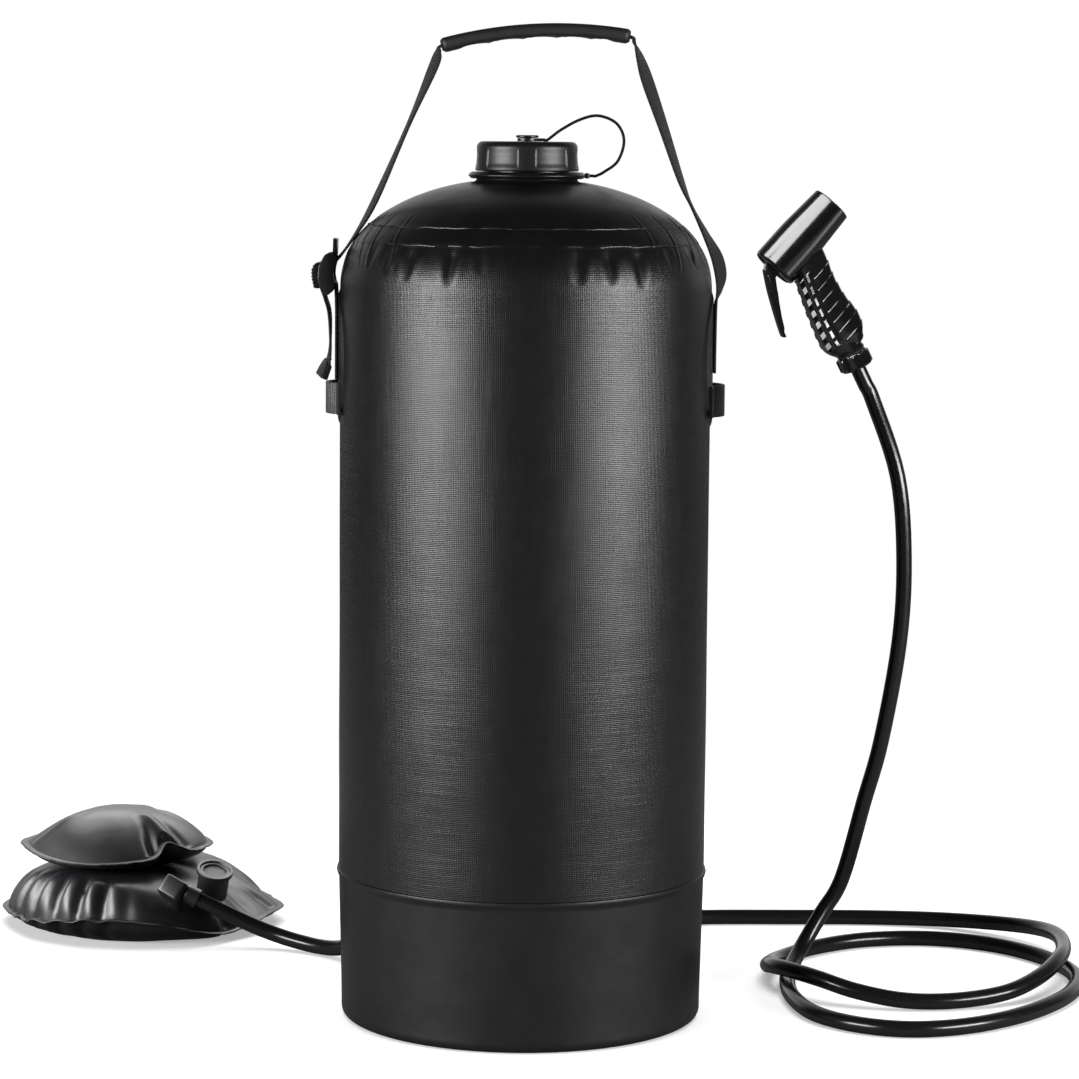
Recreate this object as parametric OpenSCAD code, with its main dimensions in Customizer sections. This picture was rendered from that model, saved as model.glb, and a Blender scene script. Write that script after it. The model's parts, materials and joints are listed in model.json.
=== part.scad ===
// Pressure camp shower: a welded water bag with screw cap and carry strap, a foot pump
// of two pillows, two hoses, and a spray gun with a rear lever.
// Millimetres, +Z up, origin on the floor under the middle of the bag, +X to the gun's side.

/* [Water bag] */
// Outer diameter of the filled bag
bag_d = 222; // [210:1:236]
// Diameter at the foot of the base cup
foot_d = 218; // [206:1:222]
// Rounding of the base cup's lower corner
foot_round = 12; // [8:1:16]
// Height of the base cup
base_h = 90; // [80:1:110]
// Height where the straight wall ends
shoulder_z = 440; // [425:1:470]
// Rise of the dome above the straight wall
dome_h = 66; // [60:1:72]
// Fullness of the dome, 2 being an ellipse
dome_n = 2.15; // [2:0.05:2.3]
// Rise of the dome's weld seam above the straight wall
weld_rise = 38.5; // [32:0.5:42]
// Height of the lapped band below the weld seam
lap_h = 10.5; // [8:0.5:14]
// Thickness that the lapped band adds
lap_t = 0.5; // [0.3:0.1:0.8]
// Projection of the bead round the base cup's rim
bead_t = 1.1; // [0.8:0.1:1.4]
// Depth of the flat on the dome's top, where the neck is welded
flat_drop = 2.5; // [2.4:0.1:4]
// Thickness of the coated fabric
wall_t = 1.2; // [0.8:0.1:1.8]
// Thickness of the base cup
cup_t = 1.6; // [1.2:0.1:2.4]

/* [Neck and cap] */
// Outer diameter of the filler neck, at the root of its thread
neck_od = 51; // [48:0.5:54]
// Bore of the filler neck
neck_bore = 45; // [40:0.5:46]
// Width of the neck's weld flange beyond the neck
neck_flange_w = 4.5; // [4:0.1:6]
// Thickness of the neck's weld flange
neck_flange_t = 2; // [1.5:0.1:3]
// Width of the tether ring around the neck
ring_w = 9.3; // [8.5:0.1:10]
// Thickness of the tether ring
ring_t = 4; // [3:0.1:5]
// Wall of the screw cap
cap_wall = 3; // [2.5:0.1:4]
// Height of the screw cap
cap_h = 17.5; // [15:0.5:24]
// Thickness of the cap's top
cap_top_t = 2.5; // [2:0.1:3.5]
// Rounding of the cap's upper edge
cap_round = 4; // [2:0.5:5]
// Number of flat finger panels round the cap
cap_panels = 6; // [4:1:8]
// Depth of each finger panel
panel_cut = 1.6; // [1:0.1:2]
// Thickness of the sealing gasket
gasket_t = 1.6; // [1.2:0.1:2.5]
// Diameter of the stud that holds the tether's eye
stud_d = 6; // [4:0.5:8]
// Diameter of the stud's head
stud_head_d = 13.6; // [10:0.2:16]
// Thickness of the stud's head
stud_head_t = 1.6; // [1:0.1:2.5]
// Outer diameter of the tether's eye
eye_d = 12; // [10:0.5:13]
// Thickness of the tether's eye
eye_t = 1.8; // [1.6:0.1:2.4]
// Thickness of the tether cord
tether_d = 1.6; // [1.2:0.1:1.8]

/* [Carry strap] */
// Width of the webbing
strap_w = 20; // [16:1:25]
// Thickness of the webbing
strap_t = 1.6; // [1.2:0.1:2]
// Length of the hand grip
grip_l = 112; // [100:1:125]
// Bow of the hand grip
grip_sag = 6; // [4:0.5:10]
// Thickness of the hand grip
grip_t = 8.4; // [7:0.2:11]
// Width of the hand grip
grip_w = 27; // [25:1:34]
// Height of the grip's middle above the shoulder
grip_rise = 152.6; // [135:0.1:175]
// Tilt of the grip as it stands
grip_tilt = 3.2; // [0:0.1:6]
// Shift of the grip to the right of the bag's axis
grip_x = 4.2; // [0:0.1:8]
// Thickness of the side patches
patch_t = 1; // [0.8:0.1:1.5]
// Width of the side patches round the bag
patch_w = 74; // [60:1:80]
// Height of the side patches
patch_h = 82; // [76:1:88]
// Height of the keeper loops' webbing
loop_h = 19; // [15:1:25]
// Stand-off of the keeper loops from the patch
loop_out = 7.5; // [6:0.5:12]
// Half of a keeper loop's opening along the bag
loop_half = 16; // [14:1:20]
// Thickness of each buckle rail
rail_t = 2.6; // [2:0.1:4]
// Radius of the buckle's cross bars
bar_r = 1.5; // [1.2:0.1:1.7]

/* [Ports and hoses] */
// Outer diameter of both hoses
hose_d = 10; // [9:0.5:10.5]
// Height of the ports above the floor
port_z = 18; // [17:0.5:24]
// Direction of the air inlet, from the back towards the right
inlet_az = -42; // [-48:1:-36]
// Direction of the water outlet, from the back towards the right
outlet_az = 15; // [10:1:20]
// Diameter of a port's flange
port_flange_d = 26; // [24:1:30]
// Thickness of a port's flange
port_flange_t = 2.5; // [2:0.1:4]
// Diameter of a port's stem
port_stem_d = 16; // [13:0.5:18]
// Length of a port's stem outside the flange
port_reach = 13; // [8:0.5:16]
// Thickness of a port's inner nut
port_nut_t = 4; // [3:0.5:5]
// Bore of the ports
port_bore = 6; // [5:0.5:8]

/* [Foot pump] */
// Outer radius of the lower pillow
low_r = 95; // [88:1:100]
// Height of the lower pillow's seam
low_seam_z = 9; // [7:0.5:12]
// Crown of the lower pillow above its seam
low_crown = 32; // [28:1:36]
// Outer radius of the upper pillow
up_r = 65; // [58:1:68]
// Depth of the upper pillow below its seam
up_belly = 9; // [7:0.5:11]
// Crown of the upper pillow above its seam
up_crown = 26; // [22:1:32]
// Thickness of the pillows' skins
skin_t = 1; // [0.8:0.1:1.4]
// Width of the welded seam's flange
seam_w = 4; // [3:0.5:6]
// Outer radius of the ring that joins the pillows
link_r = 20; // [16:1:21]
// Radius of the air passage between the pillows
link_bore_r = 12; // [9:1:14]
// Thickness of the ring that joins the pillows
link_t = 2; // [1.5:0.1:3]
// Diameter of the intake collar
intake_d = 24; // [22:0.5:26]
// Width of the intake collar's rim beyond its neck
intake_rim_w = 1.75; // [1.4:0.05:2]
// Wall of the intake collar's neck
intake_wall = 1.5; // [1.3:0.1:1.7]
// Lean of the intake collar towards the front
intake_lean = 20; // [15:1:25]
// Lean of the intake collar towards the bag
intake_side_lean = 10; // [5:1:15]
// Diameter of the intake valve's stem
flap_stem_d = 3; // [2.5:0.1:4]
// Travel of the intake valve
flap_travel = 1.8; // [1.5:0.1:2.2]
// Width of the outlet elbow's block
elbow_w = 16; // [14:0.5:17]
// Height of the outlet elbow's block
elbow_h = 13; // [12:0.5:14]
// Diameter of the outlet elbow's stem
elbow_stem_d = 12; // [11:0.5:13]
// Diameter of the outlet elbow's hose socket
socket_d = 13; // [12:0.5:13.5]
// Length of the outlet elbow's hose socket from the elbow's axis
socket_l = 16; // [14:0.5:20]

/* [Spray gun] */
// Diameter of the barrel at the rear
barrel_d = 29.4; // [28:0.1:31]
// Diameter of the barrel at the front
front_d = 25.8; // [25:0.1:27]
// Length of the barrel ahead of the handle's axis
barrel_front = 31; // [29:0.5:34]
// Length of the barrel behind the handle's axis
barrel_rear = 25; // [24.5:0.1:26]
// Rounding of the barrel's rear edge
barrel_round = 5; // [3:0.5:7]
// Rise of the barrel above level, as it is held
barrel_tilt = 48; // [44:1:52]
// Turn of the gun about the upright, as it is held
gun_yaw = 10; // [6:1:14]
// Rake of the handle from square to the barrel
handle_rake = 21.7; // [20:0.1:23]
// Distance from the barrel's axis to the handle's end
handle_l = 76.5; // [74:0.5:80]
// Diameter of the valve's bore
valve_d = 12; // [11:0.5:13]
// Diameter of the spray plate
plate_d = 21; // [19:0.5:22]
// Thickness of the spray plate
plate_t = 2.5; // [2:0.1:3.5]
// Number of hole rings on the spray plate
plate_rings = 3; // [2:1:3]
// Diameter of a spray hole
spray_hole_d = 1.2; // [0.8:0.1:1.6]
// Diameter of the valve's push rod
rod_d = 5; // [4:0.5:6]
// Diameter of the trigger's pin
pin_d = 3; // [2.5:0.1:3.5]
// Width of the trigger's head, in the barrel's slot
trigger_w = 6.6; // [5.5:0.1:8]
// Width of the trigger's lever
lever_w = 8.4; // [8:0.2:11]
// Wire of the valve's return spring
spring_wire = 1; // [0.8:0.1:1.2]
// Turns of the valve's return spring
spring_turns = 4; // [3:1:4]
// Diameter of the hose nut
nut_d = 22.2; // [21.5:0.1:24]
// Length of the hose nut
nut_l = 10; // [9:0.5:13]
// Number of lugs round the hose nut
nut_lugs = 8; // [6:1:10]
// Thickness of the collar between handle and nut
collar_t = 1.5; // [1.2:0.1:2]

/* [Fits] */
// Radial clearance of pins, rods and turning rings
run_gap = 0.08; // [0.03:0.01:0.1]
// Clearance of seated pieces
seat_gap = 0.2; // [0.15:0.05:0.3]
// Room for the screw thread between the cap's skirt and the neck
thread_room = 2.3; // [1.8:0.1:2.5]
// Clearance of soft pieces
soft_gap = 0.5; // [0.4:0.1:0.8]

/* [Hidden] */
$fn = 64;

// Depth by which a cutting solid passes the face that it cuts
cut = 1;
// Steps along each curved outline
arc_steps = 12;

// Derived sizes of the bag
bag_r = bag_d / 2;
foot_r = foot_d / 2;
// The cup's rim, where the wall meets it flush; the wall runs from there to its own radius
rim_r = max(bag_r, foot_r);
rim_run_h = 60;
bead_r = 2;
bead_a = acos(1 - bead_t / bead_r);
weld_z = shoulder_z + weld_rise;
lap_z = weld_z - lap_h;
flat_z = shoulder_z + dome_h - flat_drop;
// Hole in the dome, halfway under the neck's weld flange
top_hole_r = (neck_od + neck_flange_w) / 2;

// Derived sizes of the neck and cap, stacked upwards
ring_z = flat_z + neck_flange_t;
cap_z = ring_z + ring_t + soft_gap;
cap_top_z = cap_z + cap_h;
cap_inner_z = cap_top_z - cap_top_t;
gasket_z = cap_inner_z - gasket_t;
neck_top_z = gasket_z - seat_gap;
cap_bore = neck_od + 2 * thread_room;
cap_d = cap_bore + 2 * cap_wall;
ring_od = neck_od + 2 * (ring_w + seat_gap);
eye_z = cap_top_z + seat_gap;
stud_head_z = eye_z + eye_t + seat_gap;
// Flat tab on the eye and lug on the ring, where the tether is moulded on
eye_tab_x = eye_d / 2 + 2;
ring_lug_x = ring_od / 2 + 2;
lug_w = 5;

// Derived sizes of the strap
patch_r = bag_r + 0.05;
webbing_r = patch_r + patch_t + 0.05;
patch_z = shoulder_z - patch_h / 2;
loop_z = patch_z - patch_h / 2 + 7;
sewn_z = patch_z - 14;
sewn_top_z = shoulder_z - 7;
grip_z = shoulder_z + grip_rise;
grip_r = (pow(grip_l / 2, 2) + pow(grip_sag, 2)) / (2 * grip_sag);
grip_half_a = asin(grip_l / 2 / grip_r);

// Buckle bars, from the strap's outer plane at the left side
buckle_x = -webbing_r - strap_t;
lower_bar = [buckle_x - 2.2, shoulder_z + 1];
middle_bar = [buckle_x - 3.2, shoulder_z + 7];
upper_bar = [buckle_x - 5.5, shoulder_z + 20.5];

// Derived sizes of the ports
cup_slope = (rim_r - foot_r) / (base_h - foot_round);
cup_inner_round = foot_round - cup_t;
function cup_outer(z) = foot_r + cup_slope * (z - foot_round);
function cup_inner(z) = z < foot_round
    ? foot_r - foot_round + sqrt(pow(cup_inner_round, 2) - pow(foot_round - z, 2))
    : cup_outer(z) - cup_t;
port_seat_r = max(foot_r, cup_outer(port_z + port_flange_d / 2)) + 0.1;
port_end_r = port_seat_r + port_flange_t + port_reach;
port_nut_r = port_stem_d / 2 + 3;
nut_wall_r = min(cup_inner(port_z - port_nut_r * cos(30)), cup_inner(port_z + port_nut_r));
nut_seat_r = sqrt(pow(nut_wall_r, 2) - pow(port_nut_r, 2)) - seat_gap;
port_inner_r = nut_seat_r - port_nut_t - 1;

// Places of the foot pump
low_pos = [-257, 242];
up_pos = [-274, 240];
low_flat_r = 42;
low_top_z = low_seam_z + skin_t + low_crown;
up_base_z = low_top_z + link_t;
up_seam_z = up_base_z + up_belly;
up_top_z = up_seam_z + skin_t + up_crown;
// A place on the lower pillow, by its angle from the front, inset from the rim and rise above the seam
function on_pillow(az, inset, rise) =
    [low_pos[0] + (low_r - inset) * sin(az), low_pos[1] - (low_r - inset) * cos(az), low_seam_z + rise];
intake_pos = on_pillow(46.45, 25, 19.5);
intake_h = 20;
intake_rim_t = 3;
intake_neck_d = intake_d - 2 * intake_rim_w;
intake_lip_t = 2.2;
intake_lip_d = intake_neck_d - 2 * intake_wall - 2;
grille_t = 1.6;
grille_z = intake_h / 2;
elbow_pos = on_pillow(20.7, 7.3, 30.5);
elbow_stem_l = 20;
elbow_lean = 40;
socket_dip = 26;

// Places on the spray gun, in its own frame: +X along the barrel, +Z away from the handle
gun_pos = [170.6, 115, 466.7];
barrel_r = barrel_d / 2;
slot_w = trigger_w + 2 * soft_gap;
slot_front = -13.5;
slot_top = barrel_r - 1.2;
pin_pos = [-19.5, 7.5];
nose_pos = [-18.5, -1.5];
nose_r = 1.5;
rod_end = nose_pos[0] + nose_r + 0.1;
spool_rear = -8;
spool_front = 8;
chamber_front = 17;
plate_x = barrel_front - 1 - plate_t;
collar_z = handle_l;
washer_z = collar_z + collar_t;
washer_t = 1;
nut_z = washer_z + washer_t + seat_gap;
tail_end = nut_z + nut_l;
tail_stud_d = 12;
collar_d = 19;
tail_stud_l = 7;
water_bore = 6;

// Points that the hoses follow. The first and last two come from the ports and the gun.
hose_sides = 10;
hose_steps = 3;
function port_point(az, r) = [r * sin(az), r * cos(az), port_z];
function turn_y(p, a) = [p[0] * cos(a) + p[2] * sin(a), p[1], p[2] * cos(a) - p[0] * sin(a)];
function turn_z(p, a) = [p[0] * cos(a) - p[1] * sin(a), p[0] * sin(a) + p[1] * cos(a), p[2]];
function gun_point(p) = gun_pos + turn_z(turn_y(p, -barrel_tilt), gun_yaw);
function handle_point(t) = gun_point([-t * sin(handle_rake), 0, -t * cos(handle_rake)]);
function socket_point(l) = [elbow_pos[0] + l * cos(socket_dip), elbow_pos[1],
    elbow_pos[2] - l * sin(socket_dip)];

shower_route = concat(
    [for (r = [0, 9, 18]) port_point(outlet_az, port_end_r + r)],
    [
        [50, 180, 16], [68, 213, 10], [96, 236, 6], [130, 246, 5], [180, 248, 5], [232, 249, 5],
        [282, 240, 6], [320, 215, 9], [341, 183, 13], [349, 150, 15.8], [348, 116, 15.8], [340, 82, 15.8],
        [324, 50, 12], [300, 25, 7.5], [268, 11, 5.5], [236, 8, 6], [207, 14, 10], [184, 26, 15],
        [168, 43, 16.2], [158, 65, 14], [157, 92, 8.5], [167, 124, 5.3], [191, 156, 5], [226, 180, 5],
        [268, 186, 5], [306, 171, 5], [333, 141, 5], [348, 104, 5], [350, 68, 5], [337, 26, 5],
        [307, -18, 5], [270, -49, 5], [233, -60, 5], [201, -49, 5], [178, -22, 5], [168, 18, 5],
        [167, 58, 5], [171, 88, 7], [180, 112, 16], [193, 124, 35], [206, 128, 57], [219, 125, 108],
        [229, 122, 148], [239, 119, 212], [241, 119, 265], [236, 120, 318]
    ],
    [for (t = [24, 12, 0]) handle_point(tail_end + t)]
);
pump_route = concat(
    [for (l = [0, 6, 12]) socket_point(socket_l + l)],
    [for (p = [[41.5, 0.5, -20.3], [54, 0.5, -25.9], [68, -2, -30.5]]) elbow_pos + p],
    [[-144, 152, 6.3], [-130, 143, 5.4], [-118, 132, 7.4], [-107, 120, 13]],
    [for (r = [14, 7, 0]) port_point(inlet_az, port_end_r + r)]
);
tether_mid_z = eye_z + eye_t / 2;
tether_route = [
    [eye_tab_x, 0, tether_mid_z], [eye_tab_x + 2, 0, tether_mid_z], [eye_tab_x + 4, 0, tether_mid_z],
    [20, 0, tether_mid_z + 6],
    [31, 0, tether_mid_z + 12], [42, 0, tether_mid_z + 14.5], [53, 0, tether_mid_z + 10],
    [57.5, 0, tether_mid_z], [54, 0, ring_z + 11], [46, 0, ring_z + 4.5],
    [ring_lug_x + 4, 0, ring_z + ring_t / 2], [ring_lug_x + 2, 0, ring_z + ring_t / 2],
    [ring_lug_x, 0, ring_z + ring_t / 2]
];

// One point of a smooth curve through p1 and p2, at t from 0 to 1
function curve_point(p0, p1, p2, p3, t) =
    ((2 * p1) + (p2 - p0) * t + (2 * p0 - 5 * p1 + 4 * p2 - p3) * t * t
        + (3 * p1 - p0 - 3 * p2 + p3) * t * t * t) / 2;

// A smooth curve through all points of a route, with the given steps between neighbours
function smooth(route, steps) =
    let (last = len(route) - 1)
    concat(
        [for (i = [0 : last - 1], k = [0 : steps - 1])
            curve_point(route[max(i - 1, 0)], route[i], route[i + 1], route[min(i + 2, last)], k / steps)],
        [route[last]]
    );
function unit(v) = v / norm(v);
function tangent(path, i) = unit(path[min(i + 1, len(path) - 1)] - path[max(i - 1, 0)]);

// Side vectors carried along a path without twisting
function side_start(t) = unit(cross(t, abs(t[2]) < 0.9 ? [0, 0, 1] : [1, 0, 0]));
function sides_from(path, i, last_side) =
    let (t = tangent(path, i), s = unit(last_side - (last_side * t) * t))
    i == len(path) - 1 ? [s] : concat([s], sides_from(path, i + 1, s));
function sides_along(path) = sides_from(path, 0, side_start(tangent(path, 0)));

function path_length(path, i = 0) =
    i >= len(path) - 1 ? 0 : norm(path[i + 1] - path[i]) + path_length(path, i + 1);
// Least distance between stretches of a path that are over 6 diameters apart along it
function least_gap(path, d, skip) =
    min([for (i = [0 : len(path) - 1 - skip], j = [i + skip : len(path) - 1]) norm(path[i] - path[j])]) - d;

// Triangles that join a list of rings with n points each, closed at both ends
function skin_faces(rings, n) = concat(
    [for (i = [0 : rings - 2], k = [0 : n - 1]) [i * n + k, (i + 1) * n + k, i * n + (k + 1) % n]],
    [for (i = [0 : rings - 2], k = [0 : n - 1])
        [(i + 1) * n + k, (i + 1) * n + (k + 1) % n, i * n + (k + 1) % n]],
    [for (k = [1 : n - 2]) [0, k, k + 1]],
    [for (k = [1 : n - 2]) [(rings - 1) * n, (rings - 1) * n + k + 1, (rings - 1) * n + k]]
);
module skin(points, rings, n) polyhedron(points, skin_faces(rings, n), convexity = 10);

// A round tube along a path
module tube(path, d, sides) {
    side = sides_along(path);
    points = [for (i = [0 : len(path) - 1], k = [0 : sides - 1])
        let (t = tangent(path, i), a = 360 * k / sides)
        path[i] + d / 2 * (cos(a) * side[i] + sin(a) * cross(t, side[i]))];
    skin(points, len(path), sides);
}

// An arc of points about a centre
function arc(c, r, from, to, steps = arc_steps) =
    [for (i = [0 : steps]) let (a = from + (to - from) * i / steps) [c[0] + r * cos(a), c[1] + r * sin(a)]];
function reversed(list) = [for (i = [len(list) - 1 : -1 : 0]) list[i]];

module ring(od, id, h) {
    difference() {
        cylinder(d = od, h = h);
        translate([0, 0, -cut]) cylinder(d = id, h = h + 2 * cut);
    }
}

// Points of the dome's outline between two heights, for a wall of radius r and rise h
function dome_a(z, h) = asin(pow((z - shoulder_z) / h, dome_n / 2));
function dome_arc(r, h, from, to) =
    let (a0 = dome_a(from, h), a1 = dome_a(to, h))
    [for (i = [0 : arc_steps])
        let (a = a0 + (a1 - a0) * i / arc_steps)
        [r * pow(cos(a), 2 / dome_n), shoulder_z + h * pow(sin(a), 2 / dome_n)]];

module bag_wall() {
    color("#1b1b1d") rotate_extrude($fn = 128)
        polygon(concat(
            [[rim_r, base_h], [bag_r, base_h + rim_run_h]],
            dome_arc(bag_r, dome_h, shoulder_z, lap_z),
            dome_arc(bag_r + lap_t, dome_h + lap_t, lap_z, weld_z),
            reversed(dome_arc(bag_r - wall_t, dome_h - wall_t, shoulder_z, weld_z)),
            [[bag_r - wall_t, base_h + rim_run_h], [rim_r - wall_t, base_h]]
        ));
}

module bag_top() {
    color("#19191b") rotate_extrude($fn = 128)
        polygon(concat(
            dome_arc(bag_r, dome_h, weld_z, flat_z),
            [[top_hole_r, flat_z], [top_hole_r, flat_z - wall_t]],
            reversed(dome_arc(bag_r - wall_t, dome_h - wall_t, weld_z, flat_z - wall_t))
        ));
}

module at_port(az) translate([0, 0, port_z]) rotate([-90, 0, -az]) children();

module bag_base() {
    color("#17171a") difference() {
        rotate_extrude($fn = 128)
            polygon(concat(
                [[0, 0]],
                arc([foot_r - foot_round, foot_round], foot_round, -90, 0),
                arc([rim_r - bead_r + bead_t, base_h - bead_r - seat_gap], bead_r, -bead_a, bead_a),
                [[rim_r, base_h], [rim_r - cup_t, base_h]],
                arc([foot_r - foot_round, foot_round], cup_inner_round, 0, -90),
                [[0, cup_t]]
            ));
        for (az = [inlet_az, outlet_az])
            at_port(az) cylinder(d = port_stem_d + 2 * run_gap, h = port_end_r);
    }
}

module neck_flange() {
    color("#202024") translate([0, 0, flat_z]) ring(neck_od + 2 * neck_flange_w, neck_bore, neck_flange_t);
}

module filler_neck() {
    color("#202024") translate([0, 0, ring_z]) ring(neck_od, neck_bore, neck_top_z - ring_z);
}

module tether_ring() {
    color("#1d1d20") translate([0, 0, ring_z]) {
        ring(ring_od, neck_od + 2 * seat_gap, ring_t);
        difference() {
            translate([ring_od / 2 - ring_w / 2, -lug_w / 2, 0])
                cube([ring_lug_x - ring_od / 2 + ring_w / 2, lug_w, ring_t]);
            translate([0, 0, -cut]) cylinder(d = ring_od - 0.5, h = ring_t + 2 * cut);
        }
    }
}

// The cap's screw ring; its rounded edge ends at the lid
module cap_shell() {
    outer_r = cap_d / 2;
    panel_z = 2.5;
    edge_a = acos(max(0, 1 - cap_wall / cap_round));
    color("#161618") difference() {
        translate([0, 0, cap_z]) rotate_extrude($fn = 96)
            polygon(concat(
                [[cap_bore / 2, 0], [outer_r, 0]],
                arc([outer_r - cap_round, cap_h - cap_round], cap_round, 0, edge_a),
                cap_round < cap_wall ? [[cap_bore / 2, cap_h]] : []
            ));
        for (i = [0 : cap_panels - 1])
            rotate([0, 0, 360 * (i + 0.5) / cap_panels - 90])
                translate([outer_r - panel_cut, -cap_d / 2, cap_z + panel_z])
                    cube([cap_wall, cap_d, cap_h - cap_round - panel_z]);
    }
}

module cap_lid() {
    color("#161618") translate([0, 0, cap_inner_z]) cylinder(d = cap_bore - 2 * run_gap, h = cap_top_t);
}

module cap_gasket() {
    color("#3a3a3c") translate([0, 0, gasket_z]) ring(cap_bore - 2 * seat_gap, neck_bore, gasket_t);
}

module cap_stud() {
    color("#161618") {
        translate([0, 0, cap_top_z]) cylinder(d = stud_d, h = stud_head_z - cap_top_z);
        translate([0, 0, stud_head_z]) cylinder(d = stud_head_d, h = stud_head_t);
    }
}

module tether_eye() {
    hole_d = stud_d + 2 * run_gap;
    color("#1d1d20") translate([0, 0, eye_z]) difference() {
        union() {
            cylinder(d = eye_d, h = eye_t);
            translate([0, -lug_w / 4, 0]) cube([eye_tab_x, lug_w / 2, eye_t]);
        }
        translate([0, 0, -cut]) cylinder(d = hole_d, h = eye_t + 2 * cut);
    }
}

module cap_tether() {
    color("#1d1d20") tube(smooth(tether_route, 2), tether_d, 8);
}

// A slice of a round shell about the bag's axis, no wider than w along the bag and to one side of it
module shell_slice(side, r, t, w, z, h) {
    intersection() {
        translate([0, 0, z]) ring(2 * (r + t), 2 * r, h);
        translate([side > 0 ? 0 : -bag_d, -w / 2, z - cut]) cube([bag_d, w, h + 2 * cut]);
    }
}

// A pointed oval patch on the bag's side
module side_patch(side) {
    half_w = patch_w / 2;
    half_h = patch_h / 2;
    lens_r = (half_w * half_w + half_h * half_h) / (2 * half_w);
    color("#222225") intersection() {
        translate([0, 0, patch_z - half_h]) ring(2 * (patch_r + patch_t), 2 * patch_r, patch_h);
        translate([0, 0, patch_z]) rotate([90, 0, side * 90])
            linear_extrude(bag_d) intersection() {
                translate([lens_r - half_w, 0]) circle(lens_r);
                translate([half_w - lens_r, 0]) circle(lens_r);
            }
    }
}
module left_patch() side_patch(-1);
module right_patch() side_patch(1);

// A band of webbing sewn down at both ends, with room for a strap between
module keeper_loop(side) {
    foot_x = sqrt(pow(webbing_r, 2) - pow(loop_half, 2));
    rise = webbing_r + loop_out - foot_x;
    arch_r = (pow(loop_half, 2) + pow(rise, 2)) / (2 * rise);
    sewn_w = 8;
    color("#141416") {
        difference() {
            translate([side * (webbing_r + loop_out - arch_r), 0, loop_z])
                ring(2 * arch_r, 2 * (arch_r - strap_t), loop_h);
            translate([0, 0, loop_z - cut]) cylinder(r = webbing_r, h = loop_h + 2 * cut, $fn = 128);
        }
        difference() {
            shell_slice(side, webbing_r, strap_t, 2 * (loop_half + sewn_w), loop_z, loop_h);
            translate([side > 0 ? 0 : -bag_d, -loop_half, loop_z - cut])
                cube([bag_d, 2 * loop_half, loop_h + 2 * cut]);
        }
    }
}
module left_keeper_loop() keeper_loop(-1);
module right_keeper_loop() keeper_loop(1);

// A bar, ring or plate across the webbing, drawn in X and Z
module across(w) rotate([90, 0, 0]) translate([0, 0, -w / 2]) linear_extrude(w) children();

module left_anchor() {
    eye_r = bar_r + seat_gap;
    color("#141416") {
        shell_slice(-1, webbing_r, strap_t, strap_w, sewn_z, sewn_top_z - sewn_z);
        across(strap_w) difference() {
            union() {
                translate(lower_bar) circle(eye_r + strap_t);
                translate([lower_bar[0] + eye_r, sewn_top_z - 4])
                    square([strap_t, lower_bar[1] - sewn_top_z + 4]);
            }
            translate(lower_bar) circle(eye_r);
        }
    }
}

// Side rails joined by three bars, with a thumb tongue on top
module strap_buckle() {
    inside_w = strap_w + 2 * soft_gap;
    tongue_t = 1.8;
    tongue_h = 10.5;
    outline = [
        lower_bar + [1.6, -3], lower_bar + [-3, -3.2], lower_bar + [-8.5, 5], upper_bar + [-4, -2],
        upper_bar + [-1, 5.5], upper_bar + [4.5, 5], upper_bar + [6.5, -3], lower_bar + [2.6, 6]
    ];
    color("#121214") {
        for (side = [-1, 1])
            translate([0, side * (inside_w + rail_t) / 2, 0]) across(rail_t) polygon(outline);
        across(inside_w) {
            translate(lower_bar) circle(bar_r);
            translate(middle_bar) circle(bar_r);
            translate(upper_bar) circle(bar_r + 0.4);
            translate(upper_bar + [-tongue_t / 2, 0]) square([tongue_t, tongue_h]);
        }
    }
}

// Webbing route at rest, as X, Z, twist and thickness, from the tail's hem to the right sewn end
function grip_point(a) =
    let (x = grip_r * sin(a), z = grip_r * (cos(a) - 1))
    [grip_x + x * cos(grip_tilt) - z * sin(grip_tilt), grip_z + x * sin(grip_tilt) + z * cos(grip_tilt)];
hem_t = 4.2;
strap_left = [
    [buckle_x - 8.5, sewn_z + 1.4, 14, hem_t], [buckle_x - 6.7, sewn_z + 5.6, 12, hem_t],
    [buckle_x - 4.4, sewn_z + 10.4, 8, strap_t], [buckle_x - 3.2, sewn_z + 20, 4, strap_t],
    [buckle_x - 3.6, shoulder_z - 16, 0, strap_t], [buckle_x - 6.2, shoulder_z - 6, 0, strap_t],
    [buckle_x - 8.6, shoulder_z + 1.5, 0, strap_t], [buckle_x - 7.6, shoulder_z + 8, 0, strap_t],
    [buckle_x - 3.6, shoulder_z + 13, 0, strap_t], [buckle_x + 2, shoulder_z + 18, 0, strap_t],
    [buckle_x + 12, shoulder_z + 32, 4, strap_t], [buckle_x + 23.5, shoulder_z + 52.5, 6.5, strap_t],
    [buckle_x + 43, shoulder_z + 97, 2.5, strap_t],
    [grip_point(-grip_half_a)[0] - 4.5, grip_z - 21, 0, strap_t],
    [grip_point(-grip_half_a)[0] - 2, grip_z - 12.5, 0, strap_t]
];
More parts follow.
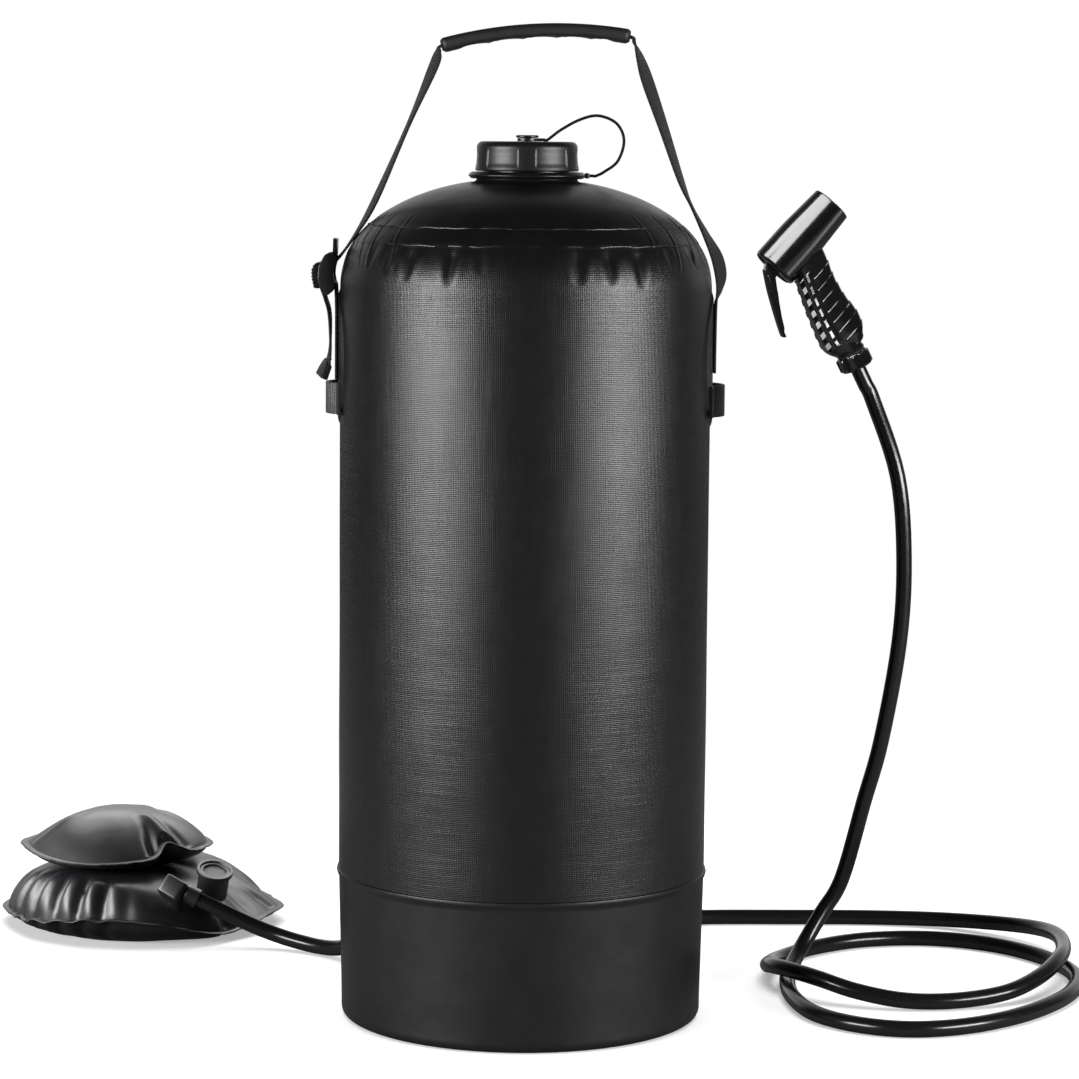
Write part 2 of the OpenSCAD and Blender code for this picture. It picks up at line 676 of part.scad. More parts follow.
strap_right = [
    [grip_point(grip_half_a)[0] + 2.6, grip_z - 6.5, 0, strap_t],
    [grip_point(grip_half_a)[0] + 6, grip_z - 15, 6, strap_t], [bag_r - 40, shoulder_z + 124, 10, strap_t],
    [bag_r - 30, shoulder_z + 96, 11, strap_t], [bag_r - 19.5, shoulder_z + 65.5, 10, strap_t],
    [bag_r - 12.8, shoulder_z + 50, 3, strap_t], [bag_r - 4, shoulder_z + 33, 10, strap_t],
    [bag_r + 2.6, shoulder_z + 20, 20, strap_t], [bag_r + 5.2, shoulder_z + 9, 20, strap_t],
    [webbing_r + strap_t + 1.7, shoulder_z, 10, strap_t],
    [webbing_r + strap_t / 2 + 0.3, shoulder_z - 10, 0, strap_t],
    [webbing_r + strap_t / 2 + 0.1, sewn_z + 19, 0, strap_t],
    [webbing_r + strap_t / 2 + 0.1, sewn_z + 6, 0, strap_t]
];
grip_steps = 6;
strap_middle = [for (i = [0 : grip_steps])
    concat(grip_point(grip_half_a * (2 * i / grip_steps - 1)), [0, strap_t])];
strap_route = concat(strap_left, strap_middle, strap_right);

module carry_strap() {
    last = len(strap_route) - 1;
    points = [for (i = [0 : last], corner = [[-1, -1], [1, -1], [1, 1], [-1, 1]])
        let (
            p = strap_route[i],
            ahead = strap_route[min(i + 1, last)],
            behind = strap_route[max(i - 1, 0)],
            along = unit([ahead[0] - behind[0], 0, ahead[1] - behind[1]]),
            out = [-along[2], 0, along[0]],
            wide = [0, cos(p[2]), 0] + sin(p[2]) * out,
            thick = cross(along, wide)
        )
        [p[0], 0, p[1]] + corner[0] * strap_w / 2 * wide + corner[1] * p[3] / 2 * thick];
    color("#141416") skin(points, last + 1, 4);
}

module hand_grip() {
    slot_t = strap_t + 2 * soft_gap;
    scallops = 4;
    scallop_r = 14;
    scallop_depth = 1.6;
    reach = grip_r + grip_t;
    color("#151517")
        translate([grip_x, 0, grip_z]) rotate([0, -grip_tilt, 0]) translate([0, 0, -grip_r]) difference() {
            across(grip_w) difference() {
                intersection() {
                    circle(grip_r + grip_t / 2, $fn = 360);
                    polygon([[0, 0], reach * [-tan(grip_half_a), 1], reach * [tan(grip_half_a), 1]]);
                }
                circle(grip_r - grip_t / 2, $fn = 360);
                for (i = [0 : scallops - 1])
                    rotate(grip_half_a * 0.72 * (2 * i / (scallops - 1) - 1))
                        translate([0, grip_r - grip_t / 2 - scallop_r + scallop_depth]) circle(scallop_r);
            }
            across(strap_w + 2 * soft_gap) difference() {
                circle(grip_r + slot_t / 2, $fn = 360);
                circle(grip_r - slot_t / 2, $fn = 360);
            }
        }
}

// A flanged stem through the cup's wall; its outer end takes the hose
module bag_port(az) {
    color("#18181a") at_port(az) difference() {
        union() {
            translate([0, 0, port_inner_r]) cylinder(d = port_stem_d, h = port_end_r - port_inner_r);
            translate([0, 0, port_seat_r]) cylinder(d = port_flange_d, h = port_flange_t);
        }
        translate([0, 0, port_inner_r - cut])
            cylinder(d = port_bore, h = port_end_r - port_inner_r + cut - 2);
    }
}
module air_inlet() bag_port(inlet_az);
module water_outlet() bag_port(outlet_az);

module port_nuts() {
    color("#202024") for (az = [inlet_az, outlet_az])
        at_port(az) translate([0, 0, nut_seat_r - port_nut_t]) difference() {
            cylinder(r = port_nut_r, h = port_nut_t, $fn = 6);
            translate([0, 0, -cut])
                cylinder(d = port_stem_d + 2 * run_gap, h = port_nut_t + 2 * cut, $fn = 64);
        }
}

// A rubber duck bill on the air inlet's inner end
module check_valve() {
    disc_t = 2;
    bill_l = 6;
    bill_w = 8;
    color("#4a4a4c") at_port(inlet_az) translate([0, 0, port_inner_r]) {
        translate([0, 0, -disc_t]) cylinder(d = port_stem_d - 2, h = disc_t);
        translate([-bill_w / 2, 0, -disc_t - bill_l]) rotate([90, 0, 90]) linear_extrude(bill_w)
            polygon([[-3, bill_l], [3, bill_l], [0.4, 0], [-0.4, 0]]);
    }
}

shower_path = smooth(shower_route, hose_steps);
pump_path = smooth(pump_route, hose_steps);
module shower_hose() color("#0f0f11") tube(shower_path, hose_d, hose_sides);
module pump_hose() color("#0f0f11") tube(pump_path, hose_d, hose_sides);
echo(shower_hose_length = path_length(shower_path), least_gap = least_gap(shower_path, hose_d, 18));
echo(pump_hose_length = path_length(pump_path));

// Outline of a pillow: a circle drawn in between its corners, as a share of the radius
pillow_corners = 4;
pillow_draw = 0.022;
pillow_sides = 32;
crown_n = 2.4;
function outline_share(a) = 1 + pillow_draw * (cos(pillow_corners * a) - 1);
// Rings of a pillow from pairs of radius and height, lobed only outside the flat middle
function pillow_points(c, pairs, flat_r, r) = [for (p = pairs, k = [0 : pillow_sides - 1])
    let (
        a = 360 * k / pillow_sides,
        share = max(0, p[0] - flat_r) / (r - flat_r),
        s = p[0] * (1 + share * (outline_share(a) - 1))
    )
    [c[0] + s * cos(a), c[1] + s * sin(a), p[1]]];
// Radius and height along a crown, from the seam at z in to the flat middle
function crown(r, flat_r, z, h) = [for (i = [0 : 7])
    let (a = 90 * i / 7)
    [flat_r + (r - flat_r) * pow(max(0, cos(a)), 2 / crown_n), z + h * pow(sin(a), 2 / crown_n)]];
module pillow(c, pairs, flat_r, r) skin(pillow_points(c, pairs, flat_r, r), len(pairs), pillow_sides);

// A crowned skin with a flat seam flange, open below, or turned over for a belly
function panel_pairs(r, flat_r, z, h) = concat(
    [[flat_r * 0.5, z + h]],
    reversed(crown(r - seam_w, flat_r, z, h)),
    [[r, z], [r, z - skin_t * sign(h)]],
    crown(r - seam_w - skin_t, flat_r - skin_t, z - skin_t * sign(h), h),
    [[flat_r * 0.5, z + h - skin_t * sign(h)]]
);
low_floor_r = 74;
up_flat_r = 30;
low_outer = panel_pairs(low_r, low_flat_r, low_seam_z + skin_t, low_crown);
up_outer = panel_pairs(up_r, up_flat_r, up_seam_z + skin_t, up_crown);

module pump_floor_panel() {
    color("#1a1a1c")
        pillow(low_pos, reversed(panel_pairs(low_r, low_floor_r, low_seam_z - skin_t, skin_t - low_seam_z)),
            low_floor_r, low_r);
}

module at_intake() translate(intake_pos) rotate([intake_lean, intake_side_lean, 0]) children();
module at_elbow_stem()
    translate(elbow_pos) rotate([elbow_lean, 0, 0]) translate([0, 0, -elbow_stem_l]) children();
// Round holes where the intake collar and the outlet elbow pass through the lower pillow's top
module fitting_holes(gap) {
    at_intake() translate([0, 0, -gap]) cylinder(d = intake_neck_d + 2 * gap, h = intake_h - intake_rim_t);
    at_elbow_stem() translate([0, 0, -gap]) cylinder(d = elbow_stem_d + 2 * gap, h = elbow_stem_l);
}

module pump_lower_top() {
    color("#1a1a1c") difference() {
        pillow(low_pos, low_outer, low_flat_r, low_r);
        translate([up_pos[0], up_pos[1], low_seam_z]) cylinder(r = link_bore_r, h = low_top_z);
        fitting_holes(run_gap);
    }
}

// Foam inside a pillow, between the given floor and the crown above it
module foam(c, r, flat_r, floor_r, floor_z, seam_z, top_z) {
    gap = skin_t + soft_gap;
    pairs = concat(
        [[floor_r * 0.5, floor_z], [floor_r - gap, floor_z], [r - seam_w - 3 * gap, seam_z]],
        crown(r - seam_w - 2 * gap, flat_r - gap, seam_z + gap, top_z - seam_z - 2 * gap),
        [[flat_r * 0.5, top_z - gap]]
    );
    pillow(c, reversed(pairs), flat_r, r);
}
module pump_lower_foam() {
    color("#8c8a80") difference() {
        foam(low_pos, low_r, low_flat_r, low_floor_r, skin_t, low_seam_z, low_top_z);
        fitting_holes(soft_gap);
    }
}

module pump_link_ring() {
    color("#202024") translate([up_pos[0], up_pos[1], low_top_z]) ring(2 * link_r, 2 * link_bore_r, link_t);
}

module pump_upper_bottom() {
    color("#1a1a1c") difference() {
        pillow(up_pos, reversed(panel_pairs(up_r, up_flat_r, up_seam_z - skin_t, skin_t - up_belly)),
            up_flat_r, up_r);
        translate([up_pos[0], up_pos[1], low_top_z]) cylinder(r = link_bore_r, h = up_belly);
    }
}
module pump_upper_foam() {
    color("#8c8a80") foam(up_pos, up_r, up_flat_r, up_flat_r, up_base_z + skin_t, up_seam_z, up_top_z);
}
module pump_upper_top() {
    color("#1a1a1c") pillow(up_pos, up_outer, up_flat_r, up_r);
}

// A rimmed collar welded through the lower pillow's top: a lip for the valve to seat on, and a spoked
// bridge below that guides the valve's stem
module intake_collar() {
    bore = intake_neck_d - 2 * intake_wall;
    spokes = 3;
    spoke_w = 2.2;
    hub_d = 7;
    color("#26262a") at_intake() {
        ring(intake_neck_d, bore, intake_h - intake_rim_t);
        translate([0, 0, intake_h - intake_rim_t]) ring(intake_d, bore, intake_rim_t - intake_lip_t);
        translate([0, 0, intake_h - intake_lip_t]) ring(intake_d, intake_lip_d, intake_lip_t);
        translate([0, 0, grille_z]) difference() {
            union() {
                cylinder(d = hub_d, h = grille_t);
                for (i = [0 : spokes - 1])
                    rotate(i * 180 / spokes) translate([-bore / 2 - intake_wall / 2, -spoke_w / 2, 0])
                        cube([bore + intake_wall, spoke_w, grille_t]);
            }
            translate([0, 0, -cut]) cylinder(d = flap_stem_d + 2 * run_gap, h = grille_t + 2 * cut);
        }
    }
}

// A disc valve that seats under the lip and drops to let air in
module intake_flap() {
    flap_t = 1.4;
    head_t = 1;
    flap_z = intake_h - intake_lip_t - seat_gap - flap_t;
    foot_z = grille_z - seat_gap - head_t;
    color("#6a6a6c") at_intake() {
        translate([0, 0, flap_z]) cylinder(d = intake_neck_d - 2 * intake_wall - 2 * soft_gap, h = flap_t);
        translate([0, 0, foot_z]) cylinder(d = flap_stem_d, h = flap_z - foot_z);
        translate([0, 0, foot_z]) cylinder(d = 6, h = head_t);
    }
}

// A rounded block on a leaning stem, with one corner cut off flat and a slotted socket for the hose
module outlet_elbow() {
    half_w = elbow_w / 2;
    rear_x = -9;
    front_x = 7.5;
    corner_r = 3;
    flat_cut = 6;
    socket_end = 2;
    slot_x = [9.4, 12.6];
    outline = concat(
        [[front_x, -half_w], [front_x, half_w]],
        arc([rear_x + corner_r, half_w - corner_r], corner_r, 90, 180, 4),
        [[rear_x, flat_cut - half_w], [rear_x + flat_cut, -half_w]]
    );
    color("#18181a") difference() {
        union() {
            translate(elbow_pos) rotate([0, socket_dip, 0]) {
                translate([0, 0, -elbow_h / 2]) linear_extrude(elbow_h) polygon(outline);
                rotate([0, 90, 0]) cylinder(d = socket_d, h = socket_l);
            }
            at_elbow_stem() cylinder(d = elbow_stem_d, h = elbow_stem_l);
        }
        at_elbow_stem() translate([0, 0, -cut]) cylinder(d = port_bore, h = elbow_stem_l + cut);
        translate(elbow_pos) rotate([0, socket_dip, 0]) {
            rotate([0, 90, 0]) cylinder(d = port_bore, h = socket_l - socket_end);
            for (x = slot_x)
                translate([x, -socket_d / 2 - cut, -1]) cube([1.5, cut + 1.2, 4]);
        }
    }
}

module at_gun() translate(gun_pos) rotate([0, -barrel_tilt, gun_yaw]) children();
module at_handle() at_gun() rotate([0, 180 + handle_rake, 0]) children();
module along_barrel(x) translate([x, 0, 0]) rotate([0, 90, 0]) children();

// Rear and front edges of the handle by height in the gun's frame
handle_rear = [[-71, -36], [-64, -40], [-58, -40], [-37, -30.6], [-15, -19.4], [-6, -15]];
handle_front = [[-71, -19], [-66, -12], [-57, -7.7], [-45, -6], [-32, -3], [-16, 5.9], [-6, 9]];
handle_half = [[-71, 7.5], [-64, 9.6], [-50, 10.2], [-30, 9.2], [-6, 9.6]];
handle_ribs = 8;
rib_pitch = 5.4;
rib_first_z = -20;
handle_sides = 20;
// Height of the grip's ribs at a height, from 0 to 1
function rib_share(z) =
    z > rib_first_z || z < rib_first_z - handle_ribs * rib_pitch ? 0
        : max(0, -cos(360 * (z - rib_first_z) / rib_pitch));

module handle_form() {
    levels = concat([-6, -12, -17], [for (i = [0 : 4 * handle_ribs]) rib_first_z - i * rib_pitch / 4],
        [-66, -68.5, -71]);
    front_rib = 0.5;
    rear_rib = 1.3;
    points = [for (z = levels, k = [0 : handle_sides - 1])
        let (
            a = 360 * k / handle_sides,
            rear = lookup(z, handle_rear) - rear_rib * (rib_share(z) - 1),
            front = lookup(z, handle_front) + front_rib * rib_share(z),
            half = lookup(z, handle_half) + front_rib * rib_share(z),
            u = sign(cos(a)) * pow(abs(cos(a)), 0.8),
            v = sign(sin(a)) * pow(abs(sin(a)), 0.8)
        )
        [(rear + front) / 2 + u * (front - rear) / 2, v * half, z]];
    skin([for (i = [len(levels) - 1 : -1 : 0], k = [0 : handle_sides - 1]) points[i * handle_sides + k]],
        len(levels), handle_sides);
}

module gun_body() {
    taper_x = 2;
    color("#0e0e10") difference() {
        union() {
            at_gun() rotate([0, 90, 0]) rotate_extrude()
                polygon(concat(
                    [[0, -barrel_rear]],
                    arc([barrel_r - barrel_round, barrel_round - barrel_rear], barrel_round, -90, 0),
                    [[barrel_r, taper_x], [front_d / 2, barrel_front], [0, barrel_front]]
                ));
            at_gun() handle_form();
            at_handle() translate([0, 0, handle_l - 20]) cylinder(d = collar_d - 1, h = 20);
        }
        at_gun() {
            along_barrel(spool_rear - 2) cylinder(d = valve_d, h = chamber_front - spool_rear + 2 + cut);
            along_barrel(chamber_front) cylinder(d = plate_d, h = barrel_front);
            along_barrel(-barrel_rear) cylinder(d = rod_d + 2 * run_gap, h = barrel_rear);
            translate([-barrel_rear - cut, -slot_w / 2, -barrel_r - 2])
                cube([slot_front + barrel_rear + cut, slot_w, slot_top + barrel_r + 2]);
            translate([pin_pos[0], barrel_r, pin_pos[1]]) rotate([90, 0, 0])
                cylinder(d = pin_d + 2 * run_gap, h = barrel_d);
        }
        at_handle() translate([0, 0, handle_l]) cylinder(d = 3 * collar_d, h = collar_d);
        at_handle() cylinder(d = water_bore, h = handle_l + cut);
        at_handle() translate([0, 0, handle_l - tail_stud_l])
            cylinder(d = tail_stud_d + 2 * run_gap, h = tail_stud_l + cut);
    }
}

// Side outline of the lever, from the head down the back to the tip and up the front
lever_head = [
    [-18, 11], [-23, 10.8], [-27.6, 5.8], [-34.5, -3.6], [-37.4, -7.9], [-33, -10.9], [-27.4, -4],
    [-21.5, -3.6]
];
lever_blade = [
    [-28.8, 4.7], [-36, -5.4], [-41.3, -14], [-46.9, -23.6], [-51.3, -31.9], [-51.2, -34.2], [-49.9, -34.6],
    [-48.4, -30.9], [-47, -29.8], [-43.4, -24.3], [-37.5, -16.4], [-33, -10.9], [-30.2, -5], [-28.7, -0.2],
    [-27.3, 4.2]
];

module trigger() {
    color("#101012") at_gun() difference() {
        union() {
            across(trigger_w) {
                nose = arc(nose_pos, nose_r, -90, 30, 6);
                polygon(concat(lever_head, nose, [[-17.6, 3], [-16, 6], [-16, 9.4]]));
            }
            across(lever_w) polygon(lever_blade);
        }
        translate([pin_pos[0], lever_w, pin_pos[1]]) rotate([90, 0, 0])
            cylinder(d = pin_d + 2 * run_gap, h = 2 * lever_w);
    }
}

module trigger_pin() {
    half = sqrt(pow(barrel_r, 2) - pow(pin_pos[1] + pin_d / 2, 2)) - soft_gap;
    color("silver") at_gun() translate([pin_pos[0], half, pin_pos[1]]) rotate([90, 0, 0])
        cylinder(d = pin_d, h = 2 * half);
}

seal_x = [spool_rear + 3, spool_front - 3];
seal_r = 1.1;
groove_r = valve_d / 2 - run_gap - 2 * seal_r;
module valve_spool() {
    groove_w = 2 * seal_r + 2 * run_gap;
    color("#b8892f") at_gun() {
        difference() {
            along_barrel(spool_rear) cylinder(d = valve_d - 2 * run_gap, h = spool_front - spool_rear);
            for (x = seal_x)
                along_barrel(x - groove_w / 2) ring(valve_d + 2 * cut, 2 * groove_r, groove_w);
        }
        along_barrel(rod_end) cylinder(d = rod_d, h = spool_rear - rod_end);
        along_barrel(spool_front) cylinder(d = rod_d - 1, h = 3);
    }
}

module spool_seals() {
    color("#2a2a2c") at_gun() for (x = seal_x)
        along_barrel(x) rotate_extrude() translate([groove_r + seal_r, 0]) circle(seal_r - run_gap / 2);
}

// A coil between the spool and its retainer, flat on neither end
module valve_spring() {
    mean_r = valve_d / 2 - spring_wire - 0.6;
    start_x = spool_front + spring_wire / 2 + seat_gap / 2;
    coil_l = chamber_front - spool_front - spring_wire - seat_gap;
    rings = spring_turns * 12;
    path = [for (i = [0 : rings]) let (a = 360 * spring_turns * i / rings)
        [start_x + coil_l * i / rings, mean_r * cos(a), mean_r * sin(a)]];
    color("silver") at_gun() tube(path, spring_wire, 6);
}

module spring_retainer() {
    retainer_t = 2.5;
    holes = 6;
    color("#202024") at_gun() along_barrel(chamber_front) difference() {
        cylinder(d = plate_d - 2 * run_gap, h = retainer_t);
        for (i = [0 : holes - 1])
            rotate(360 * i / holes) translate([valve_d / 2 - 1, 0, -cut])
                cylinder(d = 2.6, h = retainer_t + 2 * cut);
    }
}

module spray_plate() {
    ring_step = (plate_d / 2 - 2) / plate_rings;
    color("#1a1a1c") at_gun() along_barrel(plate_x) difference() {
        cylinder(d = plate_d - 2 * run_gap, h = plate_t);
        for (k = [0 : plate_rings], i = [0 : max(0, 6 * k - 1)])
            rotate(60 * i / max(k, 1)) translate([k * ring_step, 0, -cut])
                cylinder(d = spray_hole_d, h = plate_t + 2 * cut, $fn = 16);
    }
}

module hose_tail() {
    color("#141416") at_handle() {
        translate([0, 0, handle_l - tail_stud_l]) cylinder(d = tail_stud_d, h = tail_stud_l);
        translate([0, 0, collar_z]) cylinder(d = collar_d, h = collar_t);
        translate([0, 0, washer_z]) cylinder(d = hose_d, h = tail_end - washer_z);
    }
}

module tail_washer() {
    color("#3a3a3c") at_handle() translate([0, 0, washer_z])
        ring(collar_d - 1, hose_d + 2 * run_gap, washer_t);
}

module hose_nut() {
    lug_h = 0.9;
    lug_size = 4.2;
    color("#101012") at_handle() translate([0, 0, nut_z]) difference() {
        union() {
            cylinder(d = nut_d - 2 * lug_h, h = nut_l);
            for (i = [0 : nut_lugs - 1])
                rotate(360 * i / nut_lugs) translate([0, -lug_size / 2, 0.8])
                    cube([nut_d / 2, lug_size, nut_l - 1.6]);
        }
        translate([0, 0, -cut]) cylinder(d = hose_d + 2 * run_gap, h = nut_l + 2 * cut);
    }
}

bag_wall();
bag_top();
bag_base();
neck_flange();
filler_neck();
tether_ring();
cap_shell();
cap_lid();
cap_gasket();
cap_stud();
tether_eye();
cap_tether();
left_patch();
right_patch();
left_keeper_loop();
right_keeper_loop();
left_anchor();
strap_buckle();
carry_strap();
hand_grip();
air_inlet();
water_outlet();
port_nuts();
check_valve();
shower_hose();
pump_hose();
pump_floor_panel();
pump_lower_top();
pump_lower_foam();
pump_link_ring();
pump_upper_bottom();
pump_upper_foam();
pump_upper_top();
intake_collar();
intake_flap();
outlet_elbow();
gun_body();
trigger();
trigger_pin();
valve_spool();
spool_seals();
valve_spring();
spring_retainer();
spray_plate();
hose_tail();
tail_washer();
hose_nut();
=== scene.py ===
"""Looks of the pressure camp shower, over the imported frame. Points are in mm until a piece is made."""
import json
import random
from math import asin, copysign, cos, dist, exp, pi, radians as rad, sin, sqrt, tau

import bmesh
import bpy
from mathutils import Matrix, Vector, noise

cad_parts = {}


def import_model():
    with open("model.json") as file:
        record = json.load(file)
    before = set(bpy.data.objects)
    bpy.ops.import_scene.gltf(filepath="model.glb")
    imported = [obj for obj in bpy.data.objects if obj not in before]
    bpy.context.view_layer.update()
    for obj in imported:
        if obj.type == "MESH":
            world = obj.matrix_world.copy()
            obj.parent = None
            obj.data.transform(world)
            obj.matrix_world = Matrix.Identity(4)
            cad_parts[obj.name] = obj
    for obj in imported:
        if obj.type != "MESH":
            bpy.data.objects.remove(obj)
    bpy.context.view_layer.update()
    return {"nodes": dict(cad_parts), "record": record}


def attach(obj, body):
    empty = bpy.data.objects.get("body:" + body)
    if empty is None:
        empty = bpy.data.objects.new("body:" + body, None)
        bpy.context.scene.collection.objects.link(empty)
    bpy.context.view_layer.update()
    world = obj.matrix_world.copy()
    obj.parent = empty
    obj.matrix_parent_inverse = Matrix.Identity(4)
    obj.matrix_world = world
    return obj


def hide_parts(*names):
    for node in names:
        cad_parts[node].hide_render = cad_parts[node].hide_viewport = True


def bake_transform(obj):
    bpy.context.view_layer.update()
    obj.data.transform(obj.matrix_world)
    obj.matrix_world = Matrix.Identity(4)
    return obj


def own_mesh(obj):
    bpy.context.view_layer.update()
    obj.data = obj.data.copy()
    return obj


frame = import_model()
scene = bpy.context.scene
rng = random.Random(7)
MM = 0.001


def sind(deg):
    return sin(rad(deg))


def cosd(deg):
    return cos(rad(deg))


def turned(deg, axis):
    return Matrix.Rotation(rad(deg), 4, axis)


# Shapes

def link(obj):
    scene.collection.objects.link(obj)
    return obj


def in_metres(name, bm):
    """A mesh in metres from a bmesh in mm."""
    bmesh.ops.recalc_face_normals(bm, faces=bm.faces)
    mesh = bpy.data.meshes.new(name)
    bm.to_mesh(mesh)
    bm.free()
    mesh.transform(Matrix.Scale(MM, 4))
    return mesh


def make(name, bm, slot, body="bag", nodes=(), sharp=40, mat=None):
    """A piece from a bmesh in mm, riding on a body, in its slot's material if no other is given."""
    mesh = in_metres(name, bm)
    mesh.shade_smooth()
    mesh.set_sharp_from_angle(angle=rad(sharp))
    mesh.materials.append(mat or MATS[slot])
    obj = link(bpy.data.objects.new(name, mesh))
    if body:
        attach(obj, body)
    if nodes:
        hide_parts(*nodes)
    return obj


def grid(rows, closed=True, caps=(False, False), uv=None, bm=None):
    """A skin over rows of points; closed rows wrap round. uv(i, j) is a corner's texture place in metres."""
    bm = bm or bmesh.new()
    layer = bm.loops.layers.uv.verify()
    n = len(rows[0])
    verts = [[bm.verts.new(p) for p in row] for row in rows]
    for i in range(len(rows) - 1):
        for j in range(n if closed else n - 1):
            k = (j + 1) % n
            face = bm.faces.new((verts[i][j], verts[i][k], verts[i + 1][k], verts[i + 1][j]))
            if uv:
                for loop, at in zip(face.loops, ((i, j), (i, j + 1), (i + 1, j + 1), (i + 1, j))):
                    loop[layer].uv = uv(*at)
    for want, row in zip(caps, (verts[0], verts[-1])):
        if want:
            bm.faces.new(row)
    return bm


def placed(rows, place):
    return [[place @ Vector(p) for p in row] for row in rows]


def fillet(points, r, steps=4):
    """A polyline with its inner corners rounded off."""
    points = [Vector(p) for p in points]
    out = [points[0]]
    for a, b, c in zip(points, points[1:], points[2:]):
        d = min(r, (a - b).length * 0.45, (c - b).length * 0.45)
        p, q = b + (a - b).normalized() * d, b + (c - b).normalized() * d
        out += [p.lerp(b, k / steps).lerp(b.lerp(q, k / steps), k / steps) for k in range(steps + 1)]
    return [tuple(p) for p in out + [points[-1]]]


def revolve(profile, n=96, place=Matrix(), caps=(False, False), bm=None):
    """A turned form about local Z, from pairs of radius and height."""
    turns = [tau * j / n for j in range(n)]
    rows = [[(r * sin(a), -r * cos(a), z) for a in turns] for r, z in profile]
    return grid(placed(rows, place), caps=caps, uv=lambda i, j: (j / n * 0.2, i * 0.004), bm=bm)


def smooth(route, steps):
    """A smooth curve through a route's points, as in the CAD source."""
    route = [Vector(p) for p in route]
    last = len(route) - 1
    out = []
    for i in range(last):
        p0, p1, p2, p3 = route[max(i - 1, 0)], route[i], route[i + 1], route[min(i + 2, last)]
        for k in range(steps):
            t = k / steps
            out.append((2 * p1 + (p2 - p0) * t + (2 * p0 - 5 * p1 + 4 * p2 - p3) * t ** 2
                        + (3 * p1 - p0 - 3 * p2 + p3) * t ** 3) / 2)
    return out + [route[-1]]


def rounded(w, h, r, steps=3):
    """Corner-rounded rectangle, w by h."""
    out = []
    for cx, cy, a in ((1, 1, 0), (-1, 1, 90), (-1, -1, 180), (1, -1, 270)):
        for k in range(steps + 1):
            b = rad(a + 90 * k / steps)
            out.append((cx * (w / 2 - r) + r * cos(b), cy * (h / 2 - r) + r * sin(b)))
    return out


def sweep(path, wides, section, caps=True, bm=None):
    """A section carried along a path. wides is its first axis at each point, or None to carry one along."""
    last = len(path) - 1
    sections = [section(i) if callable(section) else section for i in range(len(path))]
    rows, run, at = [], [0.0], None
    for i, p in enumerate(path):
        t = (path[min(i + 1, last)] - path[max(i - 1, 0)]).normalized()
        w = wides[i] if wides else (at or (Vector((0, 0, 1)) if abs(t.z) < 0.9 else Vector((1, 0, 0))))
        w = (w - t * w.dot(t)).normalized()
        at = w
        h = t.cross(w)
        rows.append([p + w * a + h * b for a, b in sections[i]])
        if i:
            run.append(run[-1] + (p - path[i - 1]).length)
    first, around = sections[0], [0.0]
    for a, b in zip(first, first[1:] + first[:1]):
        around.append(around[-1] + dist(a, b))
    return grid(rows, caps=(caps, caps), uv=lambda i, j: (around[j] * MM, run[i] * MM), bm=bm)


def circle(r, n=12):
    return [(r * cos(tau * k / n), r * sin(tau * k / n)) for k in range(n)]


def plate(outline, z0, z1, place=Matrix(), bevel=0.6, bm=None):
    """An outline in local X and Y, extruded along local Z with softened edges."""
    part = bmesh.new()
    face = part.faces.new([part.verts.new((x, y, z0)) for x, y in outline])
    moved = bmesh.ops.extrude_face_region(part, geom=[face])["geom"]
    top = [v for v in moved if isinstance(v, bmesh.types.BMVert)]
    bmesh.ops.translate(part, vec=(0, 0, z1 - z0), verts=top)
    bmesh.ops.recalc_face_normals(part, faces=part.faces)
    edges = [e for e in part.edges if e.calc_face_angle(0) > rad(25)]
    if bevel:
        bmesh.ops.bevel(part, geom=edges, offset=bevel, segments=3, profile=0.5, affect="EDGES",
                        clamp_overlap=True)
    bmesh.ops.transform(part, matrix=place, verts=part.verts)
    if bm is None:
        return part
    mesh = bpy.data.meshes.new("joined")
    part.to_mesh(mesh)
    part.free()
    bm.from_mesh(mesh)
    bpy.data.meshes.remove(mesh)
    return bm


def carve(obj, bm):
    """Cuts a closed form out of a piece, once and for all."""
    mesh = in_metres("cutter", bm)
    cutter = link(bpy.data.objects.new("cutter", mesh))
    cut = obj.modifiers.new("cut", "BOOLEAN")
    cut.operation, cut.solver, cut.object = "DIFFERENCE", "EXACT", cutter
    made = bpy.data.meshes.new_from_object(obj.evaluated_get(bpy.context.evaluated_depsgraph_get()))
    obj.modifiers.remove(cut)
    made.set_sharp_from_angle(angle=rad(35))
    obj.data = made
    bpy.data.objects.remove(cutter)
    bpy.data.meshes.remove(mesh)


def bell(x, w):
    return exp(-(x / w) ** 2)


def ramp(x, a, b):
    t = min(max((x - a) / (b - a), 0), 1)
    return t * t * (3 - 2 * t)


def apart(deg, at):
    """The angle from at to deg, between -180 and 180."""
    return (deg - at + 180) % 360 - 180


def near(deg, at, width):
    return bell(apart(deg, at), width)


def at_angle(deg, r, z):
    """A point round the bag's axis, at an angle from the front."""
    return r * sind(deg), -r * cosd(deg), z


# Materials

